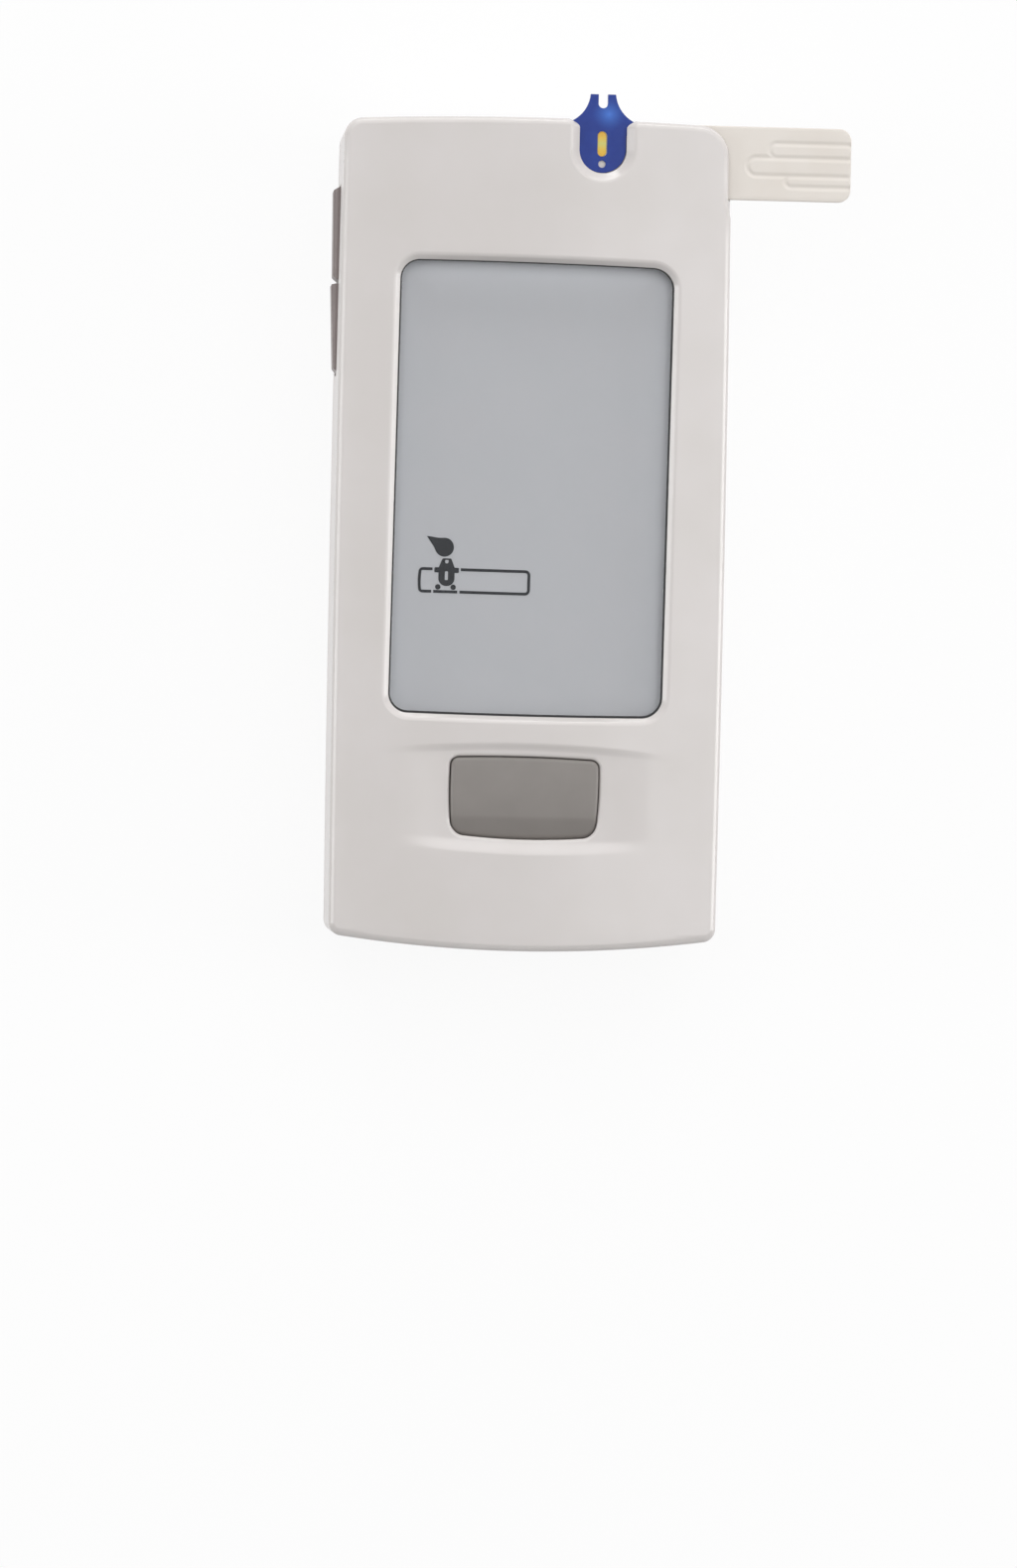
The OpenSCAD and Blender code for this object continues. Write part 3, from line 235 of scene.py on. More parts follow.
def block(mesh: BMesh, low: Sequence[float], high: Sequence[float]) -> None:
    """Adds a box between two corners."""
    size = [b - a for a, b in zip(low, high)]
    middle = [(a + b) / 2 for a, b in zip(low, high)]
    place = Matrix.Translation(middle) @ Matrix.Diagonal((*size, 1.0))
    bmesh.ops.create_cube(mesh, size=1.0, matrix=place)


def rod(
    mesh: BMesh, foot: Sequence[float], radius: float, length: float, segments: int = 48
) -> None:
    """Adds an upright cylinder that stands on the centre of its lower end."""
    place = Matrix.Translation(foot) @ Matrix.Translation((0, 0, length / 2))
    bmesh.ops.create_cone(
        mesh, cap_ends=True, segments=segments, radius1=radius, radius2=radius, depth=length,
        matrix=place,
    )


def relief_cap(
    mesh: BMesh,
    loop: Sequence[BMVert],
    cuts_x: Iterable[float],
    cuts_y: Iterable[float],
    height: Surface,
    warp: Surface | None = None,
) -> None:
    """Closes a loop with a grid of faces and lifts the grid to a surface.

    Args:
        mesh: The mesh that holds the loop.
        loop: The loop to close.
        cuts_x: Where the grid is cut across X.
        cuts_y: Where the grid is cut across Y.
        height: The surface, as a function of x and y.
        warp: How far a point inside is moved along Y, as a function of x and y.
    """
    rim = set(loop)
    faces = [cap(mesh, loop)]
    for axis, places in ((Vector((1, 0, 0)), cuts_x), (Vector((0, 1, 0)), cuts_y)):
        for place in places:
            geometry = faces + unique(e for f in faces for e in f.edges)
            geometry += unique(v for f in faces for v in f.verts)
            cut = bmesh.ops.bisect_plane(
                mesh, geom=geometry, dist=1e-5, plane_co=axis * place, plane_no=axis
            )
            faces = unique(g for g in cut["geom"] if isinstance(g, BMFace))
    inner = unique(v for f in faces for v in f.verts if v not in rim)
    grid = set(faces)
    for vert in inner:
        if warp and all(grid.issuperset(e.link_faces) for e in vert.link_edges):
            vert.co.y += warp(vert.co.x, vert.co.y)
    for vert in inner:
        vert.co.z = height(vert.co.x, vert.co.y)


def link(name: str, data: bpy.types.ID) -> Object:
    """Puts a new object with the given data into the scene."""
    made = bpy.data.objects.new(name, data)
    bpy.context.scene.collection.objects.link(made)
    return made


def to_object(mesh: BMesh, name: str) -> Object:
    """Turns a mesh under construction into an object."""
    data = bpy.data.meshes.new(name)
    mesh.to_mesh(data)
    mesh.free()
    return link(name, data)


def solid(name: str, fill: Draw) -> Object:
    """Makes an object of the closed shells that a function draws."""
    mesh = bmesh.new()
    fill(mesh)
    bmesh.ops.recalc_face_normals(mesh, faces=mesh.faces)
    return to_object(mesh, name)


def apply_modifiers(piece: Object) -> None:
    """Turns what the modifiers make of a piece into its mesh."""
    depsgraph = bpy.context.evaluated_depsgraph_get()
    data = bpy.data.meshes.new_from_object(piece.evaluated_get(depsgraph))
    piece.modifiers.clear()
    piece.data = data


def combine(piece: Object, cut: Cut, *fills: Draw) -> None:
    """Changes a piece by one solid after another, each drawn by its function."""
    for fill in fills:
        tool = solid("tool", fill)
        modifier = piece.modifiers.new("cut", "BOOLEAN")
        modifier.operation = cut.value
        modifier.solver = "EXACT"
        modifier.object = tool
        apply_modifiers(piece)
        bpy.data.objects.remove(tool)


def smooth(piece: Object) -> None:
    """Cleans a piece and shades it smoothly, apart from its sharp edges."""
    mesh = bmesh.new()
    mesh.from_mesh(piece.data)
    bmesh.ops.remove_doubles(mesh, verts=mesh.verts, dist=1e-7)
    bmesh.ops.dissolve_degenerate(mesh, dist=1e-8, edges=mesh.edges)
    pairs = [v for v in mesh.verts if len(v.link_edges) == 2]
    straight = [v for v in pairs if v.calc_edge_angle(1.0) < math.radians(STRAIGHT_ANGLE)]
    bmesh.ops.dissolve_verts(mesh, verts=straight)
    for face in mesh.faces:
        face.smooth = True
    limit = math.radians(SMOOTH_ANGLE)
    for edge in mesh.edges:
        edge.smooth = len(edge.link_faces) == 2 and edge.calc_face_angle(0.0) < limit
    mesh.to_mesh(piece.data)
    mesh.free()
    weighted = piece.modifiers.new("normals", "WEIGHTED_NORMAL")
    weighted.keep_sharp = True
    weighted.weight = 50
    apply_modifiers(piece)


def cad_copy(node: str, name: str) -> Object:
    """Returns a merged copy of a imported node, in millimetres."""
    mesh = bmesh.new()
    mesh.from_mesh(bpy.data.objects[node].data)
    bmesh.ops.scale(mesh, vec=(1 / MM, 1 / MM, 1 / MM), verts=mesh.verts)
    bmesh.ops.remove_doubles(mesh, verts=mesh.verts, dist=1e-4)
    return to_object(mesh, name)


def join_flat(piece: Object) -> None:
    """Turns the coplanar triangles of a piece into whole faces."""
    mesh = bmesh.new()
    mesh.from_mesh(piece.data)
    flat = math.radians(FLAT_ANGLE)
    bmesh.ops.dissolve_limit(mesh, angle_limit=flat, verts=mesh.verts, edges=mesh.edges)
    mesh.to_mesh(piece.data)
    mesh.free()


def soften(piece: Object, width: float, angle: float = 30.0) -> None:
    """Rounds the edges of a piece that are sharper than the angle in degrees."""
    modifier = piece.modifiers.new("edges", "BEVEL")
    modifier.width = width
    modifier.segments = 3
    modifier.limit_method = "ANGLE"
    modifier.angle_limit = math.radians(angle)
    apply_modifiers(piece)


# Finishes -------------------------------------------------------------------


def linear(colour: Colour) -> tuple[float, float, float, float]:
    """Turns an sRGB colour of 0 to 255 into the linear colour of a shader."""
    parts = [c / 255 for c in colour]
    return (*(c / 12.92 if c <= 0.04045 else ((c + 0.055) / 1.055) ** 2.4 for c in parts), 1.0)


class Tree:
    """Node tree under construction, of a material or a world."""

    def __init__(self, owner: Union[bpy.types.Material, bpy.types.World], output: str) -> None:
        """Empties the owner's tree and adds its output node."""
        owner.use_nodes = True
        self.tree = owner.node_tree
        self.tree.nodes.clear()
        self.output = self.add(output)

    def add(self, kind: str, **settings: object) -> bpy.types.Node:
        """Adds a shader node and sets its properties."""
        node = self.tree.nodes.new("ShaderNode" + kind)
        for name, value in settings.items():
            setattr(node, name, value)
        return node

    def feed(self, target: Socket, value: Union[float, Sequence[float], Socket]) -> None:
        """Gives an input its value, or links it to an output."""
        if isinstance(value, bpy.types.NodeSocket):
            self.tree.links.new(value, target)
        else:
            target.default_value = value

    def maths(self, operation: str, *values: Union[float, Socket]) -> Socket:
        """Returns the result of a Math node."""
        node = self.add("Math", operation=operation)
        for value, target in zip(values, node.inputs):
            self.feed(target, value)
        return node.outputs[0]

    def show(self, share: Socket, first: bpy.types.Node, second: bpy.types.Node) -> None:
        """Sends to the output what lies between two surfaces at the given share."""
        mix = self.add("MixShader")
        for value, target in zip((share, first.outputs[0], second.outputs[0]), mix.inputs):
            self.feed(target, value)
        self.feed(self.output.inputs["Surface"], mix.outputs[0])

    def seen(self) -> Socket:
        """Returns 1 where the camera sees a surface, directly, in a gloss or through glass."""
        path = self.add("LightPath").outputs
        either = self.maths("MAXIMUM", path["Is Camera Ray"], path["Is Glossy Ray"])
        return self.maths("MAXIMUM", either, path["Is Transmission Ray"])


class Shader(Tree):
    """Material under construction, with one Principled surface."""

    def __init__(self, name: str) -> None:
        """Starts a material with the given name."""
        self.material = bpy.data.materials.new(name)
        super().__init__(self.material, "OutputMaterial")
        self.surface = self.add("BsdfPrincipled")
        self.feed(self.output.inputs["Surface"], self.surface.outputs["BSDF"])
        self.place = self.add("TexCoord").outputs["Object"]

    def noise(
        self, size: float, detail: float = 2.0, stretch: Sequence[float] = (1, 1, 1)
    ) -> Socket:
        """Returns a noise whose patches are about size millimetres wide."""
        mapping = self.add("Mapping")
        mapping.inputs["Scale"].default_value = stretch
        self.feed(mapping.inputs["Vector"], self.place)
        node = self.add("TexNoise")
        node.inputs["Scale"].default_value = 1 / (size * MM)
        node.inputs["Detail"].default_value = detail
        self.feed(node.inputs["Vector"], mapping.outputs["Vector"])
        return node.outputs["Fac"]

    def span(
        self, value: Socket, low: float, high: float, start: float = 0.0, end: float = 1.0
    ) -> Socket:
        """Returns the value mapped from start and end to low and high."""
        node = self.add("MapRange", clamp=True)
        names = ("Value", "From Min", "From Max", "To Min", "To Max")
        for name, given in zip(names, (value, start, end, low, high)):
            self.feed(node.inputs[name], given)
        return node.outputs["Result"]

    def patches(self, size: float, low: float, high: float, detail: float = 2.0) -> Socket:
        """Returns soft patches of values between low and high."""
        return self.span(self.noise(size, detail), low, high, 0.3, 0.7)

    def blend(
        self, share: Socket, first: Union[Colour, Socket], second: Union[Colour, Socket]
    ) -> Socket:
        """Returns a colour between two, given as numbers or as sockets."""
        node = self.add("Mix", data_type="RGBA")
        self.feed(node.inputs[0], share)
        for value, target in ((first, node.inputs[6]), (second, node.inputs[7])):
            self.feed(target, linear(value) if isinstance(value, tuple) else value)
        return node.outputs[2]

    def coordinate(self, axis: str) -> Socket:
        """Returns one object coordinate, in metres."""
        node = self.add("SeparateXYZ")
        self.feed(node.inputs[0], self.place)
        return node.outputs[axis]

    def bump(self, height: Socket, depth: float) -> Socket:
        """Returns a normal for a relief whose height is depth millimetres."""
        node = self.add("Bump")
        node.inputs["Strength"].default_value = 1.0
        node.inputs["Distance"].default_value = depth * MM
        self.feed(node.inputs["Height"], height)
        return node.outputs["Normal"]


@dataclass(frozen=True)
class Finish:
    """Surface with a slight change of colour, gloss and relief over it.

    colour and shade are the two ends of the colour variation, and gloss those of the roughness.
    patch is the size of the patches, grain that of the relief and relief its depth, all in
    millimetres.
    """

    name: str
    colour: Colour
    shade: Colour
    gloss: tuple[float, float] = (0.3, 0.36)
    patch: float = 6.0
    grain: float = 0.8
    relief: float = 0.002
    metallic: float = 0.0
    specular: float = 0.5
    slot_name: str = ""

    @property
    def slot(self) -> str:
        """Material slot of the record that the finish belongs to."""
        return self.slot_name or self.name

    def tint(self, shader: Shader) -> Socket:
        """Returns the base colour."""
        return shader.blend(shader.patches(self.patch, 0.0, 1.0), self.colour, self.shade)

    def height(self, shader: Shader) -> Socket:
        """Returns the relief."""
        return shader.noise(self.grain, detail=3.0)

    def roughness(self, shader: Shader) -> Socket:
        """Returns the roughness."""
        return shader.patches(self.patch / 2, *self.gloss, detail=4.0)

    def special(self, shader: Shader) -> None:
        """Sets what only some finishes have."""

    def build(self) -> bpy.types.Material:
        """Returns the material, which is made once and then shared."""
        found = bpy.data.materials.get("finish_" + self.name)
        if found is not None:
            return found
        shader = Shader("finish_" + self.name)
        self.special(shader)
        values = {
            "Metallic": self.metallic,
            "Specular IOR Level": self.specular,
            "Base Color": self.tint(shader),
            "Roughness": self.roughness(shader),
            "Normal": shader.bump(self.height(shader), self.relief),
        }
        for name, value in values.items():
            shader.feed(shader.surface.inputs[name], value)
        return shader.material


@dataclass(frozen=True)
class ShellPlastic(Finish):
    """Plastic that is glossy on the face and satin down the sides, between two heights."""

    satin: float = 0.31
    heights: tuple[float, float] = (20.8, 21.6)

    def roughness(self, shader: Shader) -> Socket:
        """Returns the roughness, which is at least the satin's below the face."""
        low, high = self.heights
        side = shader.span(shader.coordinate("Z"), self.satin, 0.0, low * MM, high * MM)
        return shader.maths("MAXIMUM", super().roughness(shader), side)


@dataclass(frozen=True)
class Clear(Finish):
    """Clear plastic or glass, which leaves the light on the pieces behind it as it is."""

    ior: float = 1.49

    def special(self, shader: Shader) -> None:
        """Transmits light, and lets shadow and diffuse rays straight through."""
        shader.surface.inputs["Transmission Weight"].default_value = 1.0
        shader.surface.inputs["IOR"].default_value = self.ior
        path = shader.add("LightPath").outputs
        clear = shader.add("BsdfTransparent")
        clear.inputs["Color"].default_value = linear(self.colour)
        share = shader.maths("MAXIMUM", path["Is Shadow Ray"], path["Is Diffuse Ray"])
        shader.show(share, shader.surface, clear)


@dataclass(frozen=True)
class DisplayFilm(Finish):
    """Grey display film with painted light: it is paler and bluer towards its visible edges, against
    the recess's shade.
    """

    # painted light: the colour that the film turns to at its edges, against the shade that the recess
    # casts
    painted_edge_light: Colour = (188, 190, 195)
    centre: tuple[float, float] = (0.0, 3.65)
    half: tuple[float, float] = (15.65, 27.3)
    reach: float = 5.0

    def tint(self, shader: Shader) -> Socket:
        """Returns the film's grey with the painted light towards its edges."""
        base = super().tint(shader)
        shares = []
        for axis, middle, half in zip("XY", self.centre, self.half):
            offset = shader.maths("SUBTRACT", shader.coordinate(axis), middle * MM)
            away = shader.maths("ABSOLUTE", offset)
            shares.append(shader.span(away, 0.0, 1.0, (half - self.reach) * MM, half * MM))
        edge = shader.maths("MAXIMUM", *shares)
        return shader.blend(shader.maths("POWER", edge, 2.0), base, self.painted_edge_light)


@dataclass(frozen=True)
class Banded(Finish):
    """Surface whose colour changes along Y through listed stops, given in millimetres."""

    stops: tuple[tuple[float, Colour], ...] = ()

    def tint(self, shader: Shader) -> Socket:
        """Returns the colour of the bands with the usual variation over it."""
        first, last = self.stops[0][0], self.stops[-1][0]
        ramp = shader.add("ValToRGB")
        while len(ramp.color_ramp.elements) < len(self.stops):
            ramp.color_ramp.elements.new(0.5)
        for element, (place, colour) in zip(ramp.color_ramp.elements, self.stops):
            element.position = (place - first) / (last - first)
            element.color = linear(colour)
        share = shader.span(shader.coordinate("Y"), 0.0, 1.0, first * MM, last * MM)
        shader.feed(ramp.inputs["Fac"], share)
        fade = shader.patches(self.patch, 0.0, 0.12)
        return shader.blend(fade, ramp.outputs["Color"], self.shade)


@dataclass(frozen=True)
class PaintedHighlight(Finish):
    """Plastic with a painted highlight: its colour is lighter round one place."""

    # painted highlight: the colour that the plastic turns to round the spot
    light: Colour = (70, 118, 206)
    spot: tuple[float, float, float] = (8.0, 48.15, 21.4)
    reach: float = 2.0

    def tint(self, shader: Shader) -> Socket:
        """Returns the colour with its painted highlight."""
        base = super().tint(shader)
        offset = shader.add("VectorMath", operation="DISTANCE")
        shader.feed(offset.inputs[0], shader.place)
        offset.inputs[1].default_value = [c * MM for c in self.spot]
        share = shader.span(offset.outputs["Value"], 1.0, 0.0, 0.0, self.reach * MM)
        return shader.blend(shader.maths("POWER", share, 1.5), base, self.light)


@dataclass(frozen=True)
class SolderMask(Finish):
    """Green board with tracks under its lacquer."""

    track: Colour = (36, 110, 64)
    pitch: float = 1.3

    def tracks(self, shader: Shader) -> Socket:
        """Returns 1 on a track and 0 beside it."""
        cells = shader.add("TexBrick")
        cells.inputs["Scale"].default_value = 1 / (4 * self.pitch * MM)
        cells.inputs["Mortar Size"].default_value = 0.06
        cells.inputs["Mortar Smooth"].default_value = 0.2
        shader.feed(cells.inputs["Vector"], shader.place)
        return cells.outputs["Fac"]

    def tint(self, shader: Shader) -> Socket:
        """Returns the lacquer's green with the tracks through it."""
        return shader.blend(self.tracks(shader), super().tint(shader), self.track)

    def height(self, shader: Shader) -> Socket:
        """Returns a relief in which the tracks stand up a little."""
        return shader.maths("ADD", self.tracks(shader), shader.noise(self.grain))


@dataclass(frozen=True)
class Striped(Finish):
    """Layers of two colours across X."""

    other: Colour = (40, 36, 38)
    pitch: float = 0.36

    def tint(self, shader: Shader) -> Socket:
        """Returns the striped colour."""
        turns = shader.maths("MULTIPLY", shader.coordinate("X"), math.tau / (self.pitch * MM))
        share = shader.span(shader.maths("SINE", turns), 0.0, 1.0, -0.3, 0.3)
        return shader.blend(share, super().tint(shader), self.other)


@dataclass(frozen=True)
class Brushed(Finish):
    """Metal with fine lines along Y."""

    stretch: tuple[float, float, float] = (1.0, 0.06, 1.0)

    def height(self, shader: Shader) -> Socket:
        """Returns the drawn lines."""
        return shader.noise(self.grain, detail=3.0, stretch=self.stretch)

    def roughness(self, shader: Shader) -> Socket:
        """Returns a roughness that follows the lines."""
        return shader.span(self.height(shader), *self.gloss, 0.3, 0.7)


HOUSING = ShellPlastic(
    "housing", (215, 210, 208), (211, 206, 203), (0.13, 0.18), patch=9, grain=1.4, relief=0.0015
)
CLEAR = Clear(
    "clear_window", (255, 255, 255), (253, 254, 254), (0.015, 0.03), grain=3, relief=0.0002,
    ior=1.28,
)
# the window adhesive's dark finish, also worn by the bead that is painted shade in the window's gap
ADHESIVE_AND_GAP_SHADE = Finish("adhesive", (30, 30, 32), (24, 24, 26), (0.6, 0.7), grain=0.3, relief=0.01)
# painted light: the display film is lighter towards its edges
LCD_FACE = DisplayFilm(
    "lcd_face", (172, 173, 177), (171, 172, 176), (0.5, 0.54), patch=20, grain=0.12, relief=0.0004
)
INK = Finish(
    "lcd_ink", (36, 38, 42), (32, 34, 38), (0.6, 0.66), patch=2, grain=0.2, relief=0.0004,
    specular=0.1, slot_name="lcd_face",
)
LCD_GLASS = Clear(
    "lcd_glass", (236, 244, 240), (230, 240, 236), (0.02, 0.04), grain=2, relief=0.0002, ior=1.52
)
REFLECTOR = Finish(
    "reflector", (196, 199, 202), (186, 189, 193), (0.4, 0.5), grain=0.2, metallic=0.9
)
INNER = Finish(
    "inner_plastic", (224, 223, 220), (216, 215, 212), (0.5, 0.58), grain=0.2, relief=0.006
)
ELASTOMER = Striped(
    "elastomer", (222, 160, 178), (214, 150, 170), (0.6, 0.7), grain=0.3, relief=0.006
)
BOARD = SolderMask(
    "board", (22, 84, 48), (18, 76, 42), (0.25, 0.34), patch=3, grain=0.5, relief=0.02
)
CHIP = Finish(
    "chip", (46, 46, 48), (38, 38, 41), (0.5, 0.62), patch=1.5, grain=0.06, relief=0.006
)
TINNED = Finish(
    "tinned", (200, 200, 202), (180, 180, 184), (0.2, 0.34), grain=0.15, relief=0.004, metallic=1.0
)
CERAMIC = Finish(
    "ceramic", (182, 150, 116), (168, 136, 102), (0.5, 0.6), patch=0.8, grain=0.08, relief=0.005
)
SOCKET = Finish(
    "socket_plastic", (44, 44, 46), (36, 36, 38), (0.42, 0.52), grain=0.15, relief=0.004
)
GOLD = Finish(
    "gold_contact", (220, 178, 96), (206, 164, 84), (0.16, 0.26), grain=0.2, relief=0.001,
    metallic=1.0,
)
BUTTON = Finish(
    "button", (132, 127, 123), (128, 123, 119), (0.36, 0.42), patch=4, grain=0.16, relief=0.0022
)
KEY = replace(
    BUTTON, name="side_key", colour=(123, 112, 110), shade=(119, 108, 106), patch=3,
    slot_name="button",
)
CELL_DARK, CELL_GOLD = (52, 54, 60), (196, 174, 120)
JACKET = Banded(
    "cell_jacket", CELL_DARK, (40, 42, 48), (0.22, 0.32), grain=1.2, relief=0.003,
    stops=(
        (-44.0, CELL_DARK), (-33.0, CELL_DARK), (-32.4, CELL_GOLD), (-30.0, CELL_GOLD),
        (-29.4, CELL_DARK), (6.0, CELL_DARK),
    ),
)
NICKEL = Brushed(
    "nickel", (206, 204, 200), (190, 188, 184), (0.14, 0.24), grain=0.1, relief=0.001, metallic=1.0
)
STEEL = Brushed(
    "screw_steel", (186, 187, 190), (166, 168, 172), (0.24, 0.36), grain=0.1, metallic=1.0
)
STRIP = Finish(
    "strip_plastic", (227, 221, 214), (223, 216, 208), (0.42, 0.5), patch=5, grain=0.2,
    relief=0.0022,
)
# painted highlight: the head is lighter round a spot near its top
HEAD = PaintedHighlight(
    "head_plastic", (34, 61, 144), (29, 54, 135), (0.2, 0.26), patch=1.5, grain=0.3, relief=0.001,
    specular=0.25,
)
FILM = Banded(
    "film", (222, 190, 80), (214, 176, 70), (0.4, 0.5), patch=0.5, grain=0.1, relief=0.003,
    stops=(
        (43.3, (226, 172, 50)), (44.1, (222, 186, 70)), (44.8, (206, 202, 116)),
        (45.4, (224, 190, 80)), (46.2, (228, 172, 50)),
    ),
)

NODE_FINISHES: dict[Finish, str] = {
    ADHESIVE_AND_GAP_SHADE: "window_adhesive",
    LCD_FACE: "lcd_polariser",
    LCD_GLASS: "lcd_front_glass lcd_rear_glass",
    REFLECTOR: "lcd_reflector",
    INNER: "lcd_frame main_switch_stem up_switch_stem down_switch_stem",
    ELASTOMER: "zebra_connector",
    BOARD: "circuit_board",
    CHIP: "processor_chip amplifier_chip memory_chip board_resistors",
    TINNED: "processor_leads clock_crystal",
    CERAMIC: "board_capacitors",
    SOCKET: "strip_socket main_switch up_switch down_switch piezo_buzzer",
    GOLD: "socket_contacts strip_electrodes",
    JACKET: "battery_left battery_right",
    NICKEL: "battery_nubs battery_springs battery_bridge positive_terminal negative_terminal",
    STEEL: "board_screws housing_screws",
    FILM: "strip_reaction_film",
}


def dress(piece: Object, finish: Finish) -> None:
    """Gives a piece one finish all over."""
    piece.data.materials.clear()
    piece.data.materials.append(finish.build())


def place_piece(piece: Object, finish: Finish, body: str, *nodes: str) -> None:
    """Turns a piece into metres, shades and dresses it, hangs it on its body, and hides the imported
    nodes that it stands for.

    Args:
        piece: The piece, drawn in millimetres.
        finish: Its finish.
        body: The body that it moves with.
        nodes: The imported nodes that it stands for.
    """
    piece.data.transform(Matrix.Diagonal((MM, MM, MM, 1.0)))
    smooth(piece)
    dress(piece, finish)
    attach(piece, body)
    finish.slot
    if nodes:
        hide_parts(*nodes)
    LOG.info("%s: %d faces, rides on %s", piece.name, len(piece.data.polygons), body)


# Housing --------------------------------------------------------------------


@dataclass
class Housing:
    """Front cover, back cover and battery door.

    Pairs for the scoop's reach and wall belong to its lower and upper wall. A rim lists its width,
    the height of its foot, and the angle of its leaning wall in degrees, and its skirt how far the
    cutter runs on upwards and outwards. A post lists its foot and its radius, and the screw's hole
    its foot, radius and length.
    """

    width: float = 44.2
    length: float = 95.0
    thickness: float = 23.0
    wall: float = 1.5
    seam: float = 9.0
    reveal: float = 0.1
    seam_edge: float = 0.14
    lip: float = 1.0
    side_bow: float = 0.2
    low_bow: float = 1.6
    high_bow: float = 0.55
    crown_drop: float = 0.7
    front_round: float = 0.9
    front_turn: float = 80.0
    scoop_y: float = -29.9
    scoop_z: float = 22.55
    scoop_half: float = 19.0
    scoop_reach: tuple[float, float] = (6.7, 6.2)
    scoop_bow: float = 1.2
    scoop_fade: tuple[float, float] = (9.0, 17.6)
    scoop_wall: tuple[float, float] = (1.7, 1.0)
    bend_rise: tuple[float, float] = (1.5, 4.4)
    bend_fall: tuple[float, float] = (7.2, 9.6)
    bend_fade: tuple[float, float] = (18.0, 20.6)
    rim_end: float = 3.0
    rim_skirt: tuple[float, float] = (0.06, 1.1)
    window_rim: tuple[float, float, float] = (0.9, 22.08, 58.0)
    button_rim: tuple[float, float, float] = (0.36, 22.22, 77.0)
    notch_rim: tuple[float, float, float] = (1.2, 22.05, 42.0)
    notch_x: float = 7.36
    notch_y: float = 44.04
    notch_radius: float = 2.7
    notch_mouth: tuple[float, float, float] = (46.55, 0.89, 1.15)
    slot_low: tuple[float, float, float] = (-1.75, 38.65, 20.3)
    slot_lift: float = 0.01
    lip_over: float = 0.05
    lip_start: float = 38.3
    lip_end: float = 38.9
    lip_back: float = 0.5
    screw_x: float = 15.375
    screw_y: tuple[float, float] = (-38.0, 38.6)
    screw_post: tuple[float, float] = (7.35, 2.4)
    screw_hole: tuple[float, float, float] = (6.3, 1.05, 10.7)
    board_post: tuple[float, float] = (15.25, 2.0)
    board_post_at: tuple[tuple[float, float], ...] = ((screw_x - 4.9, 42.6), (14.775, -27.9))
    post_sunk: float = 0.05
    shelves: tuple[Corners, ...] = (
        ((4.7, 37.65, 19.1), (21.35, 46.2, 20.35)),
        ((-5.15, 37.65, 19.1), (21.35, 38.65, 21.55)),
    )
    key_openings: tuple[Corners, ...] = (
        ((-40.0, 18.0, 10.15), (-19.85, 39.9, 15.25)),
        ((-20.8, 17.45, 9.6), (-19.1, 40.45, 15.8)),
    )
    window: Outline = Outline(
        -15.65, 15.65, -20.65, 30.92, (2.2, 2.35, 2.45, 2.2), low_bow=0.17, high_bow=0.15,
        turn=FACE_TURN, pinch=0.14, corner_steps=14,
    )
    button_hole: Outline = Outline(
        -8.5, 8.2, -34.3, -25.5, (1.4, 1.4, 0.9, 0.9), side_bow=0.17, low_bow=0.45, high_bow=0.2,
        taper=0.12, turn=FACE_TURN,
    )
    outline: Outline = field(init=False)
    lip_outline: Outline = field(init=False)

    def __post_init__(self) -> None:
        """Works out the housing's outline, and the one that is drawn in over the strip."""
        half, end = self.width / 2, self.length / 2
        low, high = self.low_bow - end, end - self.high_bow
        self.outline = Outline(
            -half, half, low, high, (1.3, 1.3, 2.0, 2.0), self.side_bow, self.low_bow,
            self.high_bow, corner_steps=14, side_steps=32,
        )
        right = half + self.side_bow - self.lip_back
        self.lip_outline = replace(self.outline, right=right, radii=(1.3, 1.3, 3.3, 2.0))

    @property
    def notch(self) -> Outline:
        """The outline of the notch, which runs out past the housing's end."""
        x, y, radius = self.notch_x, self.notch_y, self.notch_radius
        foot = radius - 0.01
        return Outline(
            x - radius, x + radius, y - radius, self.length / 2 + 6, (foot, foot, 0.3, 0.3),
            mouth=self.notch_mouth, corner_steps=20, side_steps=80,
        )

    @property
    def screws(self) -> list[tuple[float, float]]:
        """Where the housing's screws stand."""
        return [(x, y) for x in (-self.screw_x, self.screw_x) for y in self.screw_y]

    @property
    def ceiling(self) -> float:
        """Height of the front cover's inner face."""
        return self.thickness - self.wall

    def crown(self, x: float, _y: float = 0.0) -> float:
        """Returns the height of the crowned face."""
        half = self.width / 2
        radius = (half * half + self.crown_drop**2) / (2 * self.crown_drop)
        return self.thickness - radius + math.sqrt(radius * radius - x * x)

    def scoop_shift(self, x: float, away: float) -> float:
        """Returns how far the scoop's wall at x lies from its place in the middle."""
        bow = self.scoop_bow * (x / self.scoop_half) ** 2
        return x * math.tan(math.radians(FACE_TURN)) - math.copysign(bow, away)

    def face(self, x: float, y: float) -> float:
        """Returns the height of the front face, with the scoop in it."""
        top = self.crown(x)
        away = y - self.scoop_y
        upper = away > 0
        inside = self.scoop_reach[upper] - abs(away - self.scoop_shift(x, away))
        if inside <= 0 or top <= self.scoop_z:
            return top
        depth = (top - self.scoop_z) * (1.0 - smooth_step(*self.scoop_fade, abs(x)))
        return top - depth * smooth_step(0.0, self.scoop_wall[upper], inside)

    def bend(self, x: float, y: float) -> float:
        """Returns how far the face's grid is moved so that its lines follow the scoop's walls."""
        away = y - self.scoop_y
        near = smooth_step(*self.bend_rise, abs(away))
        near *= 1.0 - smooth_step(*self.bend_fall, abs(away))
        fade = 1.0 - smooth_step(*self.bend_fade, abs(x))
        return self.scoop_shift(x, away) * near * fade

